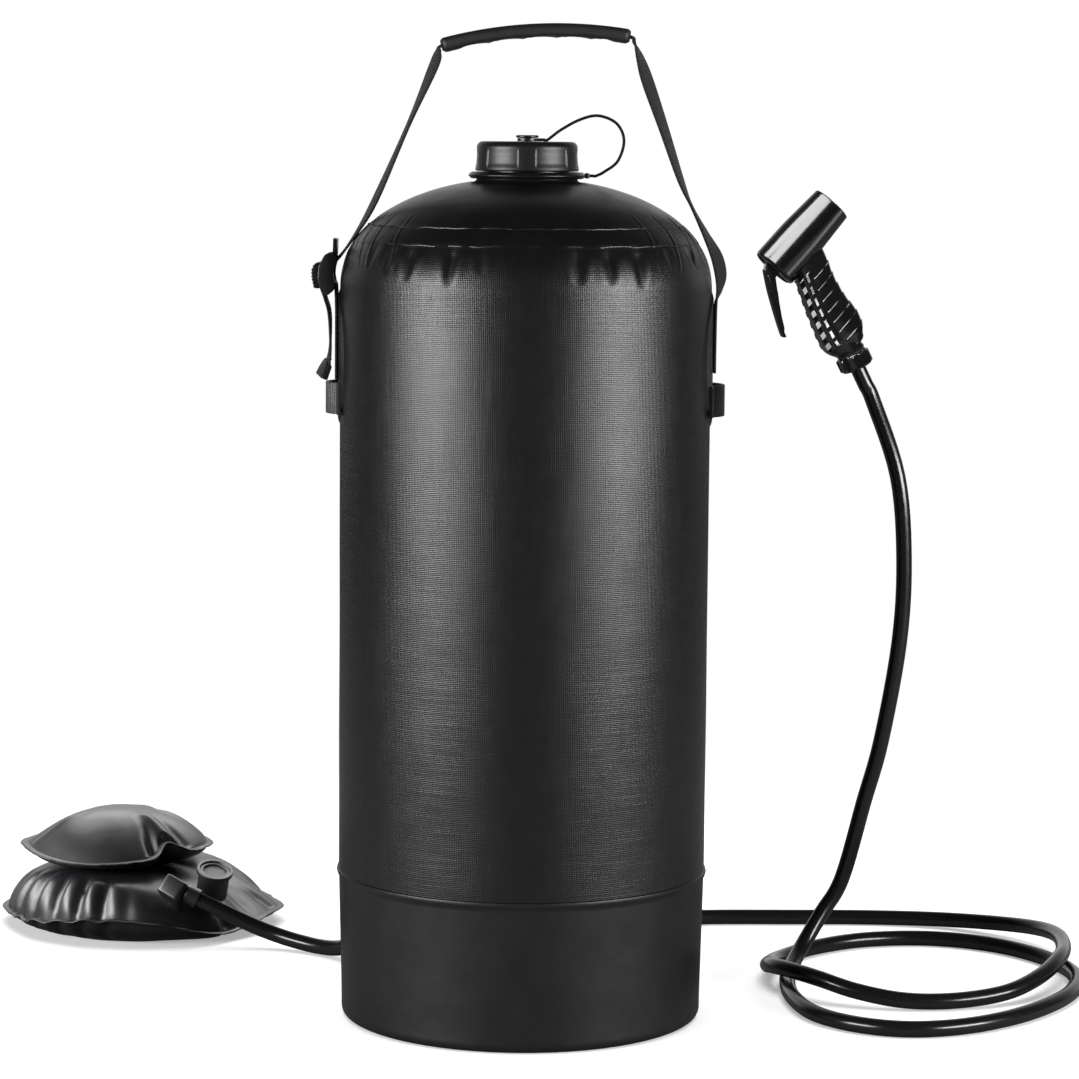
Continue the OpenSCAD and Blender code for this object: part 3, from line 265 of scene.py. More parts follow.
class Tree:
    """Short calls that add nodes to a material or a world."""

    def __init__(self, owner):
        owner.use_nodes = True
        self.nodes, self.links = owner.node_tree.nodes, owner.node_tree.links

    def put(self, node, inputs):
        """Sets a node's inputs to values, or links them to other nodes' outputs."""
        for key, value in inputs.items():
            if hasattr(value, "is_output"):
                self.links.new(value, node.inputs[key])
            else:
                node.inputs[key].default_value = value
        return node

    def add(self, kind, inputs=None, **settings):
        node = self.nodes.new(kind)
        for key, value in settings.items():
            setattr(node, key, value)
        return self.put(node, inputs or {})

    def math(self, operation, a, b):
        return self.add("ShaderNodeMath", {0: a, 1: b}, operation=operation).outputs[0]

    def between(self, fac, low, high):
        return self.add("ShaderNodeMapRange", {"Value": fac, "To Min": low, "To Max": high}).outputs["Result"]

    def rise(self, value, start, end, **settings):
        """0 to 1 as a value goes from start to end."""
        inputs = {"Value": value, "From Min": start, "From Max": end}
        return self.add("ShaderNodeMapRange", inputs, **settings).outputs["Result"]

    def mixed(self, share, first, second, into):
        """Two shaders mixed into an output node's surface."""
        mix = self.add("ShaderNodeMixShader", {0: share, 1: first, 2: second})
        self.put(self.nodes[into], {"Surface": mix.outputs[0]})


class Shader(Tree):
    """A material with a principled shader, whose tone and height vary."""

    def __init__(self, name, color, rough, **values):
        self.mat = bpy.data.materials.new(name)
        super().__init__(self.mat)
        self.shader = self.nodes["Principled BSDF"]
        self.color, self.rough = color, rough
        self.put(self.shader, {key.replace("_", " "): value for key, value in values.items()})

    def coords(self, which="Object", scale=(1, 1, 1)):
        source = self.add("ShaderNodeTexCoord").outputs[which]
        return self.add("ShaderNodeMapping", {"Vector": source, "Scale": scale}).outputs["Vector"]

    def noise(self, scale, detail=3.0, which="Object", stretch=(1, 1, 1)):
        return self.add("ShaderNodeTexNoise", {"Vector": self.coords(which, stretch), "Scale": scale,
                                               "Detail": detail}).outputs["Fac"]

    def bands(self, axis, pitch):
        """Sine bands across a UV axis in metres."""
        parts = self.add("ShaderNodeSeparateXYZ", {"Vector": self.coords("UV")})
        turn = self.math("MULTIPLY", parts.outputs[axis], tau / pitch)
        return self.math("SINE", turn, 0.0)

    def finish(self, tone, spread, rough_spread, heights):
        """tone varies colour and roughness; heights are pairs of a height output and a bump distance."""
        dark, light = ([c * k for c in self.color] + [1] for k in (1 - spread, 1 + spread))
        # Inputs 6 and 7 and output 2 are the mix node's colours
        mix = self.add("ShaderNodeMix", {"Factor": tone, 6: dark, 7: light}, data_type="RGBA")
        rough = self.between(tone, self.rough - rough_spread, self.rough + rough_spread)
        below = {}
        for height, distance in heights:
            bump = {"Height": height, "Distance": distance, "Strength": 1.0, **below}
            below = {"Normal": self.add("ShaderNodeBump", bump).outputs["Normal"]}
        self.put(self.shader, {"Base Color": mix.outputs[2], "Roughness": rough, **below})
        return self.mat


def woven_sheet():
    s = Shader("coated_fabric", (0.005, 0.005, 0.006), 0.33, Specular_IOR_Level=0.5)
    across = s.math("MULTIPLY", s.bands("X", 0.0011), s.noise(1.0, 2, "UV", (900, 25, 1)))
    along = s.math("MULTIPLY", s.bands("Y", 0.0011), s.noise(1.0, 2, "UV", (25, 900, 1)))
    threads = s.math("ADD", across, along)
    return s.finish(s.noise(90, 4), 0.25, 0.05, ((threads, 0.00004), (s.noise(16, 2), 0.0006)))


def smooth_sheet(name, rough=0.34):
    s = Shader(name, (0.005, 0.005, 0.006), rough, Specular_IOR_Level=0.5)
    return s.finish(s.noise(60, 4), 0.3, 0.06, ((s.noise(900, 2), 0.00002), (s.noise(24, 3), 0.0007)))


def moulding(name, color, rough, grain=0.00001, specular=0.5):
    s = Shader(name, color, rough, Specular_IOR_Level=specular)
    return s.finish(s.noise(140, 4), 0.3, 0.04, ((s.noise(1500, 2), grain), (s.noise(70, 2), 0.00005)))


def woven_webbing(name, color, rough, specular):
    s = Shader(name, color, rough, Sheen_Weight=0.08, Sheen_Roughness=0.4, Specular_IOR_Level=specular)
    ribs = s.math("ADD", s.bands("Y", 0.0016), s.math("MULTIPLY", s.bands("X", 0.0013), s.bands("Y", 0.0032)))
    return s.finish(s.noise(400, 3), 0.4, 0.08, ((ribs, 0.00012),))


def turned_metal(name, color):
    s = Shader(name, color, 0.28, Metallic=1.0)
    return s.finish(s.noise(60, 4, "Object", (1, 1, 12)), 0.12, 0.08, ((s.noise(800, 2), 0.00001),))


def foam_material():
    s = Shader("foam", (0.33, 0.32, 0.29), 0.9)
    cells = s.add("ShaderNodeTexVoronoi", {"Vector": s.coords(), "Scale": 700.0}).outputs["Distance"]
    return s.finish(s.noise(120, 4), 0.2, 0.05, ((cells, 0.0004),))


MATS = {
    "coated_fabric": woven_sheet(),
    "smooth_sheet": smooth_sheet("smooth_sheet"),
    "moulded_gloss": moulding("moulded_gloss", (0.006, 0.006, 0.0065), 0.3),
    "moulded_satin": moulding("moulded_satin", (0.008, 0.008, 0.009), 0.36),
    "webbing": woven_webbing("webbing", (0.011, 0.011, 0.0125), 0.6, 0.3),
    "grip_rubber": moulding("grip_rubber", (0.012, 0.012, 0.013), 0.5, 0.00004),
    "seal_rubber": moulding("seal_rubber", (0.045, 0.045, 0.046), 0.5, 0.00002),
    "hose_rubber": moulding("hose_rubber", (0.008, 0.008, 0.009), 0.22),
    "foam": foam_material(),
    "brass": turned_metal("brass", (0.72, 0.52, 0.2)),
    "steel": turned_metal("steel", (0.6, 0.6, 0.6)),
}
for part in frame["record"]["subparts"]:
    materials = frame["nodes"][part["node"]].data.materials
    materials.clear()
    materials.append(MATS[part["material_slot"]])


# Camera, as the photograph was taken

CAMERA_AT, CAMERA_DOWN, CAMERA_ROLL = (0.0093, -2.184, 0.537), 6.47, 0.5
lens = bpy.data.cameras.new("camera")
lens.lens = 121.78
lens.sensor_width = 36
lens.clip_end = 60
camera = link(bpy.data.objects.new("camera", lens))
camera.matrix_world = Matrix.Translation(CAMERA_AT) @ turned(90 - CAMERA_DOWN, "X") @ turned(CAMERA_ROLL, "Z")
scene.camera = camera


# Hoses, along the CAD source's routes

HOSE_R = 5
# The base cup widens a little above its rounded foot, and a port's flange seats on it
FOOT_R, FOOT_H, FOOT_TAPER = 109, 12, 2 / 78
PORT_Z, FLANGE_R, FLANGE_T, PORT_REACH, SEAT = 18, 13, 2.5, 13, 0.1
PORT_END = FOOT_R + FOOT_TAPER * (PORT_Z + FLANGE_R - FOOT_H) + SEAT + FLANGE_T + PORT_REACH
# The gun's barrel lies along its local X; the handle hangs from it at a rake, with the nut at its end
GUN_TURN, GUN_TILT, HANDLE_RAKE = 10, 48, 21.7
GUN = Matrix.Translation((170.6, 115, 466.7)) @ turned(GUN_TURN, "Z") @ turned(-GUN_TILT, "Y")
HANDLE = GUN @ turned(180 + HANDLE_RAKE, "Y")
NUT_Z, NUT_L = 79.2, 10


def port_point(az, r):
    return r * sind(az), r * cosd(az), PORT_Z


ELBOW = Matrix.Translation((-226, 160, 39.5))
SOCKET = ELBOW @ turned(26, "Y")


def socket_point(d):
    return tuple(SOCKET @ Vector((d, 0, 0)))


SHOWER_ROUTE = [port_point(15, PORT_END + d) for d in (0, 9, 18)] + [
    (50, 180, 16), (68, 213, 10), (96, 236, 6), (130, 246, 5), (180, 248, 5), (232, 249, 5),
    (282, 240, 6), (320, 215, 9), (341, 183, 13), (349, 150, 15.8), (348, 116, 15.8), (340, 82, 15.8),
    (324, 50, 12), (300, 25, 7.5), (268, 11, 5.5), (236, 8, 6), (207, 14, 10), (184, 26, 15),
    (168, 43, 16.2), (158, 65, 14), (157, 92, 8.5), (167, 124, 5.3), (191, 156, 5), (226, 180, 5),
    (268, 186, 5), (306, 171, 5), (333, 141, 5), (348, 104, 5), (350, 68, 5), (337, 26, 5),
    (307, -18, 5), (270, -49, 5), (233, -60, 5), (201, -49, 5), (178, -22, 5), (168, 18, 5),
    (167, 58, 5), (171, 88, 7), (180, 112, 16), (193, 124, 35), (206, 128, 57), (219, 125, 108),
    (229, 122, 148), (239, 119, 212), (241, 119, 265), (236, 120, 318),
] + [tuple(HANDLE @ Vector((0, 0, NUT_Z + NUT_L + d))) for d in (24, 12, 0)]
PUMP_ROUTE = [socket_point(16 + d) for d in (0, 6, 12)] + [
    (-184.5, 160.5, 19.2), (-172, 160.5, 13.6), (-158, 158, 9), (-144, 152, 6.3), (-130, 143, 5.4),
    (-118, 132, 7.4), (-107, 120, 13),
] + [port_point(-42, PORT_END + d) for d in (14, 7, 0)]


def hose(name, route, node):
    path = smooth(route, 6)
    curve = bpy.data.curves.new(name, "CURVE")
    curve.dimensions = "3D"
    curve.bevel_depth = HOSE_R * MM
    curve.bevel_resolution = 8
    spline = curve.splines.new("POLY")
    spline.points.add(len(path) - 1)
    for point, p in zip(spline.points, path):
        point.co = (*(p * MM), 1)
    curve.materials.append(MATS["hose_rubber"])
    obj = link(bpy.data.objects.new(name, curve))
    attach(obj, "bag")
    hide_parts(node)


hose("shower_hose_tube", SHOWER_ROUTE, "shower_hose")
hose("pump_hose_tube", PUMP_ROUTE, "pump_hose")


# Water bag

# The wall's radius; the dome's start, height and power; the weld's two edges, and the dome's flat top
BAG_R, SHOULDER, DOME_H, DOME_N = 111, 440, 66, 2.15
LAP, WELD, FLAT = 468, 478.5, 503.5
COLS = 720
# Gathers below the weld: angle from the front, depth, half width in degrees, length
GATHERS = [(-57, 0.8, 1.6, 14), (-48.8, 1.4, 2.0, 18), (-38.8, 1.7, 2.1, 21), (-23.5, 1.9, 2.0, 24),
           (-13.7, 0.7, 1.6, 16), (-4.6, 0.4, 1.4, 12), (7, 0.35, 1.3, 11), (16.2, 1.5, 2.1, 22),
           (26.6, 1.8, 2.2, 22), (37.5, 2.0, 2.2, 25), (52, 1.1, 1.7, 18), (66, 0.9, 1.6, 16)]
# Thin creases that cross the weld: angle at the lap, degrees of lean over their run, height
CREASE_RUN = 16
CREASES = [(-48, -3, 0.3), (-61, -3, 0.42), (-69, -6, 0.4), (-76, -5, 0.36), (-83, -3, 0.36),
           (46.3, 1, 0.28), (58, 3, 0.45), (70, 5, 0.4), (77, 4, 0.36), (84, 3, 0.34)]
angle = 92.0
while angle < 268:
    at = apart(angle, 0)
    GATHERS.append((at, rng.uniform(0.8, 2.0), rng.uniform(1.7, 2.3), rng.uniform(16, 26)))
    CREASES.append((at + rng.uniform(3, 6), rng.uniform(-3, 3), rng.uniform(0.25, 0.4)))
    angle += rng.uniform(9, 15)


def dome_r(z):
    return BAG_R * (1 - max(0, (z - SHOULDER) / DOME_H) ** DOME_N) ** (1 / DOME_N)


def dome_rows(z0, z1, steps):
    a0, a1 = (asin(((z - SHOULDER) / DOME_H) ** (DOME_N / 2)) for z in (z0, z1))
    turns = [a0 + (a1 - a0) * k / steps for k in range(steps + 1)]
    return [SHOULDER + DOME_H * sin(a) ** (2 / DOME_N) for a in turns]


def bag_offset(deg, z):
    """How far the skin stands off its plain form: gathers, creases, lapped weld and some unevenness."""
    x, y = sind(deg), -cosd(deg)
    out = 0.22 * noise.noise((x * 2.2, y * 2.2, z / 70)) * ramp(z, 100, 130) - 0.1
    # Gathers, creases and weld lie between these heights
    if z < 430 or z > 498:
        return out
    for at, depth, width, length in GATHERS:
        d = apart(deg, at)
        if abs(d) > 4 * width:
            continue
        down = (LAP - z) / length
        share = max(0, 1 - down ** 1.9) if down > 0 else 1 - ramp(z, LAP, LAP + 2.2)
        share *= 0.25 + 0.75 * ramp(LAP - z, 0, 8)
        w = width * (1 - 0.42 * min(1, max(0, down)))
        out -= depth * share * bell(d, w)
        out += 0.26 * depth * share * (bell(d - 2 * w, w) + bell(d + 2 * w, w))
    for at, lean, height in CREASES:
        d = apart(deg - at, lean * (z - LAP) / CREASE_RUN)
        if abs(d) < 3:
            run = ramp(z, 450, 462) * (1 - ramp(z, 482, 491))
            out += height * run * (bell(d, 0.55) - 0.5 * bell(d - 1.2, 0.6) - 0.5 * bell(d + 1.2, 0.6))
    out += 0.45 * ramp(z, LAP - 0.8, LAP) * (1 - ramp(z, WELD - 0.6, WELD + 0.6))
    return out


def bag_skin(name, heights, node, slot, last_rows=()):
    turns = [360 * j / COLS - 180 for j in range(COLS)]
    rows = [[at_angle(deg, dome_r(z) + bag_offset(deg, z), z) for deg in turns] for z in heights]
    rows += [[at_angle(deg, r, z) for deg in turns] for r, z in last_rows]
    run = [0.0]
    for a, b in zip(rows, rows[1:]):
        run.append(run[-1] + (Vector(a[0]) - Vector(b[0])).length * MM)
    bm = grid(rows, uv=lambda i, j: (j / COLS * tau * BAG_R * MM, run[i]))
    make(name, bm, slot, nodes=(node,))


wall_heights = [90 + 20 * k for k in range(17)] + [424 + 4 * k for k in range(4)]
wall_heights += dome_rows(SHOULDER + 0.5, WELD, 30)
bag_skin("bag_wall_skin", wall_heights, "bag_wall", "coated_fabric")
bag_skin("bag_dome_skin", dome_rows(WELD, FLAT, 34), "bag_top", "smooth_sheet",
         ((32.4, FLAT + 0.05), (31, FLAT + 0.4), (30.3, FLAT + 1.1), (30.05, FLAT + 1.9)))


def seam_ring(name, z, sink, hidden):
    """A welded lap's edge: a thin bead that rises and sinks, so that it catches light in dashes."""
    rows = []
    for j in range(720):
        deg = j / 2 - 180
        x, y = sind(deg), -cosd(deg)
        wave = noise.noise((x * 9, y * 9, z))
        under = 0.5 * ramp(noise.noise((x * 3.3, y * 3.3, z + 7)), -0.1 - hidden, 0.15 - hidden)
        # The lower edge follows the skin just above it
        r = dome_r(z) + bag_offset(deg, z + 2.4 * (z == LAP)) - sink - under
        size = 0.4 + 0.12 * noise.noise((x * 14, y * 14, z))
        at = Vector((r * x, r * y, z + 0.9 * wave))
        rows.append([at + Vector((a * x, a * y, 1.3 * b)) for a, b in circle(size, 8)])
    bm = grid(rows + rows[:1])
    bmesh.ops.remove_doubles(bm, verts=bm.verts, dist=1e-5)
    make(name, bm, "smooth_sheet", mat=MATS["moulded_satin"])


seam_ring("upper_weld_edge", WELD - 0.6, 0.16, 0)
seam_ring("lower_weld_edge", LAP, 0.14, 0.18)

base_profile = [(0.01, 0), (50, 0), (85, 0)]
base_profile += fillet([(0.01, 0), (97, 0), (FOOT_R, 0), (FOOT_R, FOOT_H), (110.7, 84)], 12, 8)[2:]
base_profile += [(110.9, 86), (111.7, 87.2), (112.1, 88.5), (111.8, 89.7), (111.1, 90.2), (110.2, 90.2)]
base_sheet = smooth_sheet("base_sheet", 0.42)
make("bag_base_skin", revolve(base_profile, 240), "smooth_sheet", nodes=("bag_base",), mat=base_sheet)


# Neck, cap and tether

CAP_R, CAP_Z, CAP_H = 30.8, 510, 17.5


def cap_rows():
    """Rounded skirt with six sunk panels between broad ribs; a rib faces the front."""
    side = [(29.9, 0), (30.6, 0.25), (30.9, 0.8), (CAP_R, 1.5)]
    side += [(CAP_R - 0.025 * k, 1.9 + 0.4 * k) for k in range(30)]
    side += [(26.3 + 3.8 * cosd(a), CAP_H - 3.8 + 3.8 * sind(a)) for a in range(6, 91, 7)]
    side += [(25.2, CAP_H), (24.6, CAP_H), (24.2, CAP_H - 0.5), (23.4, CAP_H - 0.5), (23, CAP_H), (12, CAP_H),
             (0.05, CAP_H)]
    rows = []
    for r0, z in side:
        row = []
        for j in range(480):
            deg = 360 * j / 480 - 180
            off = abs(deg % 60 - 30)
            panel = ramp(z, 1.4, 5) * (1 - ramp(z, 9.5, 14.6))
            r = r0 - panel * (0.42 * (1 - ramp(off, 19.2, 20.2)) - 0.14 * bell(off - 21, 0.5))
            row.append(at_angle(deg, r, z + CAP_Z))
        rows.append(row)
    return rows


cap_plastic = moulding("cap_plastic", (0.006, 0.006, 0.0065), 0.4)
make("cap_moulding", grid(cap_rows(), uv=lambda i, j: (j * 0.0004, i * 0.0005)), "moulded_gloss", "cap",
     ("cap_shell", "cap_lid"), 30, cap_plastic)
ring_profile = fillet([(25.8, 509.4), (25.8, 505.5), (33.2, 505.5), (34.95, 507.2), (34.95, 507.8),
                       (33.2, 509.5), (25.8, 509.5)], 0.35)
bm = revolve(ring_profile, 160)
plate([(34.2, -2.5), (37.2, -2.1), (37.2, 2.1), (34.2, 2.5)], 505.9, 509.1, bevel=0.7, bm=bm)
make("tether_ring_moulding", bm, "moulded_gloss", nodes=("tether_ring",))

stud_profile = fillet([(3, 527.5), (3, 529.6), (6.2, 529.7), (6.8, 530.1), (6.8, 530.9), (6.2, 531.3),
                       (2.6, 531.3), (2.2, 530.8), (0.02, 530.8)], 0.3)
make("cap_stud_moulding", revolve(stud_profile, 48), "moulded_gloss", "cap", ("cap_stud",))

EYE_Z, RING_Z = 527.7 + 0.9, 505.5
TETHER = [(8, 0, EYE_Z), (10, 0, EYE_Z), (12, 0, EYE_Z), (20, 0, EYE_Z + 6), (31, 0, EYE_Z + 12),
          (42, 0, EYE_Z + 14.5), (53, 0, EYE_Z + 10), (57.5, 0, EYE_Z), (54, 0, RING_Z + 11),
          (46, 0, RING_Z + 4.5), (41, 0, RING_Z + 2), (39, 0, RING_Z + 2), (36.9, 0, RING_Z + 2)]
tether_plastic = moulding("tether_plastic", (0.005, 0.005, 0.0055), 0.6, 0.000001, 0.2)
tether = make("cap_tether_cord", sweep(smooth(TETHER, 8), None, circle(0.88)), "moulded_satin", None,
              ("cap_tether",), mat=tether_plastic)
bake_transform(tether)


# Carry strap

# The grip's middle, tilt, half length and bow; from these, the radius and half angle of its arc
GRIP_X, GRIP_Z, GRIP_TILT, GRIP_HALF, GRIP_BOW = 4.2, 592.6, rad(3.2), 56, 6
GRIP_R = (GRIP_HALF ** 2 + GRIP_BOW ** 2) / (2 * GRIP_BOW)
GRIP_A = asin(GRIP_HALF / GRIP_R)
# Webbing: its width, the radius of the wall under it, where it is sewn down, and the keeper loops' height
WEB_W, WEB_R, SEWN_Z, KEEPER_Z = 20, 112.1, 385, 374.5
BUCKLE_X = -113.7


def grip_point(a):
    x, z = GRIP_R * sin(a), GRIP_R * (cos(a) - 1)
    return (GRIP_X + x * cos(GRIP_TILT) - z * sin(GRIP_TILT),
            GRIP_Z + x * sin(GRIP_TILT) + z * cos(GRIP_TILT))


left_end, right_end = grip_point(-GRIP_A), grip_point(GRIP_A)
# The strap's route, from its free end to the right patch: X (at first from BUCKLE_X), Z, twist in degrees
STRAP = [(BUCKLE_X + x, z, twist) for x, z, twist in (
    (-8.5, 386.4, 14), (-6.7, 390.6, 12), (-4.8, 394.6, 9), (-4.4, 395.6, 8), (-3.2, 405, 4), (-3.6, 424, 0),
    (-6.2, 434, 0), (-8.6, 441.5, 0), (-7.6, 448, 0), (-3.6, 453, 0), (2, 458, 0), (12, 472, 4),
    (23.5, 492.5, 10), (43, 537, 6))]
STRAP += [(left_end[0] - 4.5, GRIP_Z - 21, 16), (left_end[0] - 2, GRIP_Z - 12.5, 9)]
STRAP += [(*grip_point(GRIP_A * (k / 3 - 1)), 0) for k in range(7)]
STRAP += [
    (right_end[0] + 2.6, GRIP_Z - 6.5, 0), (right_end[0] + 6, GRIP_Z - 15, 12), (71, 564, 20), (81, 536, 16),
    (91.5, 505.5, 10), (98.2, 490, 3), (107, 473, 10), (113.6, 460, 20), (116.2, 449, 20),
    (WEB_R + 3.3, 440, 10), (WEB_R + 1.1, 430, 0), (WEB_R + 0.9, 404, 0), (WEB_R + 0.9, 391, 0),
]
# Its thickness; the free end is folded over
STRAP_T = [4.2, 4.2, 3.9] + [1.6] * (len(STRAP) - 3)
strap_path = smooth([(x, 0, z) for x, z, _ in STRAP], 5)
strap_facts = smooth([(twist, thick, 0) for (_, _, twist), thick in zip(STRAP, STRAP_T)], 5)


def strap_wides():
    out = []
    for i in range(len(strap_path)):
        t = (strap_path[min(i + 1, len(strap_path) - 1)] - strap_path[max(i - 1, 0)]).normalized()
        twist = rad(strap_facts[i].x)
        out.append(Vector((0, cos(twist), 0)) + sin(twist) * Vector((-t.z, 0, t.x)))
    return out


def strap_section(i):
    h = max(1.5, strap_facts[i].y)
    return rounded(WEB_W, h, min(0.7, h / 2 - 0.05))


strap = make("carry_strap_webbing", sweep(strap_path, strap_wides(), strap_section), "webbing", None,
             ("carry_strap",), 50)
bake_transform(strap)


def grip_rows():
    """A bowed rubber grip: finger scallops with slanted edges below, rounded ends."""
    rows = []
    for k in range(121):
        s = k / 60 - 1
        end = 1 - 0.3 * max(0, (abs(s) - 0.955) / 0.045) ** 2
        x, z = grip_point(GRIP_A * s)
        tilt = GRIP_TILT - GRIP_A * s
        row = []
        for a, b in rounded(27 * (1 - 0.1 * abs(s) ** 6) * end, 8.4 * end, 3.6 * end, 6):
            wave = 5.5 * s + 0.35 * a / 13.5 if abs(s) < 0.86 else 0
            if b < 0 and wave:
                scallop = abs(sin(pi * wave / 2 + pi / 4)) ** 0.6
                b += 2.1 * scallop * (1 - (a / 14) ** 2) * (1 - ramp(abs(s), 0.74, 0.86))
            row.append((x - b * sin(tilt), a, z + b * cos(tilt)))
        rows.append(row)
    return rows


make("hand_grip_moulding", grid(grip_rows(), caps=(True, True)), "grip_rubber", "handle", ("hand_grip",), 35)

# Buckle: three bars across two rails, a ribbed thumb pad and a tongue, outlined in X from BUCKLE_X and in Z
ACROSS = Matrix(((1, 0, 0, 0), (0, 0, 1, 0), (0, 1, 0, 0), (0, 0, 0, 1)))
LOWER = Vector((BUCKLE_X - 2.2, 441))
MIDDLE = Vector((BUCKLE_X - 3.2, 447))
UPPER = Vector((BUCKLE_X - 4.6, 458.2))
rail = [(1.2, 457.5), (-0.4, 452.5), (-0.9, 448), (0.3, 441.6), (-2.4, 436.8), (-5.3, 435), (-8.3, 438),
        (-10.2, 444.8), (-9.7, 453), (-5.8, 460.2), (-0.7, 461)]
pad = [(-9.4, 455), (-12, 454.6), (-13.9, 450.5), (-13.7, 446), (-12.5, 439.6), (-9.2, 439.6)]
tongue = [(-1.6, 458.5), (0.8, 458.5), (1.2, 469), (-1.2, 469.3)]


def buckle_plate(bm, outline, corner, y0, y1, bevel):
    plate(fillet([(BUCKLE_X + x, z) for x, z in outline], corner, 3), y0, y1, ACROSS, bevel, bm)


bm = bmesh.new()
for side in (-1, 1):
    buckle_plate(bm, rail, 1.6, side * 11.8 - 1.3, side * 11.8 + 1.3, 0.6)
for at, r in ((LOWER, 1.5), (MIDDLE, 1.5), (UPPER, 1.7)):
    sweep([Vector((at.x, y, at.y)) for y in (-11, -4, 4, 11)], None, circle(r, 16), bm=bm)
buckle_plate(bm, pad, 1, -10, 10, 0.6)
for k in range(7):
    z = 440.7 + 2 * k
    edge = -12.9 - 1.2 * ramp(z, 440, 447) + 1.6 * ramp(z, 450, 455)
    rib = [(-9.6, z + 1.2), (edge, z + 0.5), (edge, z - 0.5), (-9.6, z + 0.2)]
    buckle_plate(bm, rib, 0.1, -10.5, 10.5, 0.2)
buckle_plate(bm, tongue, 0.6, -9, 9, 0.5)
make("strap_buckle_moulding", bm, "moulded_gloss", nodes=("strap_buckle",))

anchor_path = [Vector((-WEB_R - 0.85, 0, z)) for z in range(SEWN_Z, 432, 6)] + [Vector((-113.2, 0, 436))]
anchor_path += [Vector((LOWER.x + 2.5 * cosd(a), 0, LOWER.y + 2.5 * sind(a))) for a in range(-8, 250, 16)]
bm = sweep(anchor_path, [Vector((0, 1, 0))] * len(anchor_path), rounded(WEB_W, 1.5, 0.6))
make("left_anchor_webbing", bm, "webbing", nodes=("left_anchor",), sharp=50)


PATCH_Z, PATCH_HALF_W, PATCH_HALF_H = 399, 37, 41


def patch(name, side, node):
    """A pointed oval of coated fabric, welded down at its rim."""
    lens_r = (PATCH_HALF_W ** 2 + PATCH_HALF_H ** 2) / (2 * PATCH_HALF_W)
    rows = []
    for i in range(37):
        z = PATCH_HALF_H * (i / 18 - 1)
        half = max(0.15, sqrt(lens_r ** 2 - z * z) - (lens_r - PATCH_HALF_W))
        row = []
        for j in range(33):
            t = j / 16 - 1
            y = half * t
            rim = min(1 - abs(z) / PATCH_HALF_H, 1 - abs(t)) * min(half, 20)
            r = 110.7 + 1.45 * ramp(rim, -0.2, 1.1) - 0.16 * bell(rim - 4.2, 0.9)
            row.append((side * sqrt(r * r - y * y), y, PATCH_Z + z))
        rows.append(row)
    bm = grid(rows, closed=False, uv=lambda i, j: (j * 0.0023, i * 0.0023))
    make(name, bm, "coated_fabric", nodes=(node,))


# A glossier copy of the strap webbing for the keeper loops. Its paler colour is a painted highlight, not a
# different webbing.
keeper_webbing_painted_highlight = woven_webbing("keeper_webbing_painted_highlight", (0.032, 0.032, 0.034), 0.36, 0.85)


def keeper(name, side, node):
    """A band of webbing sewn down at both ends and bowed out between them."""
    arch_r, web_half = 19.12, 0.8
    cx, mid_r = WEB_R + 7.5 - arch_r, arch_r - web_half
    flat = [(sqrt((WEB_R + 0.85) ** 2 - y * y), y) for y in (-24, -21, -18.5)]
    arch = [(cx + mid_r * cosd(a), mid_r * sind(a)) for a in range(-54, 55, 6)]
    route = flat + arch + [(x, -y) for x, y in reversed(flat)]
    path = smooth([(side * x, y, KEEPER_Z) for x, y in route], 2)
    bm = sweep(path, [Vector((0, 0, 1))] * len(path), rounded(19, 1.6, 0.6))
    make(name, bm, "webbing", nodes=(node,), sharp=50, mat=keeper_webbing_painted_highlight)


def stitches(name, runs):
    """Rows of short thread stitches, one between each two points of a run."""
    bm = bmesh.new()
    for points in runs:
        for a, b in zip(points, points[1:]):
            along = b - a
            at = Matrix.Translation((a + b) / 2) @ along.to_track_quat("X", "Z").to_matrix().to_4x4()
            bmesh.ops.create_uvsphere(bm, u_segments=6, v_segments=5, radius=1.0,
                                      matrix=at @ Matrix.Diagonal((along.length * 0.42, 0.34, 0.34, 1)))
    make(name, bm, "webbing")


# Box stitching with a cross where the webbing is sewn to each patch, and a seam at each keeper's ends
SEAM_Y, SEAM_LOW, SEAM_HIGH, STITCH = 7.5, SEWN_Z + 8, SEWN_Z + 30, 2.4
corners = [(-SEAM_Y, SEAM_LOW), (SEAM_Y, SEAM_LOW), (SEAM_Y, SEAM_HIGH), (-SEAM_Y, SEAM_HIGH),
           (-SEAM_Y, SEAM_LOW), (SEAM_Y, SEAM_HIGH), (-SEAM_Y, SEAM_HIGH), (SEAM_Y, SEAM_LOW)]
box = []
for (y0, z0), (y1, z1) in zip(corners, corners[1:]):
    n = max(3, int(dist((y0, z0), (y1, z1)) / STITCH))
    box += [(y0 + (y1 - y0) * k / n, z0 + (z1 - z0) * k / n) for k in range(n)]
for label, side in (("left", -1), ("right", 1)):
    patch(label + "_patch_skin", side, label + "_patch")
    keeper(label + "_keeper_webbing_painted_highlight", side, label + "_keeper_loop")
    runs = [[Vector((side * (sqrt((WEB_R + 1.7) ** 2 - y * y) - 0.1), y, z)) for y, z in box]]
    for y in (-22, 22):
        x = side * sqrt((WEB_R + 1.65) ** 2 - y * y)
        runs.append([Vector((x, y, KEEPER_Z - 8 + 2.2 * k)) for k in range(8)])
    stitches(label + "_sewing", runs)


# Foot pump

pump_sheet = smooth_sheet("pump_sheet", 0.38)
# The seam flange's width and half thickness
LIP_W, LIP_HALF = 4, 0.8


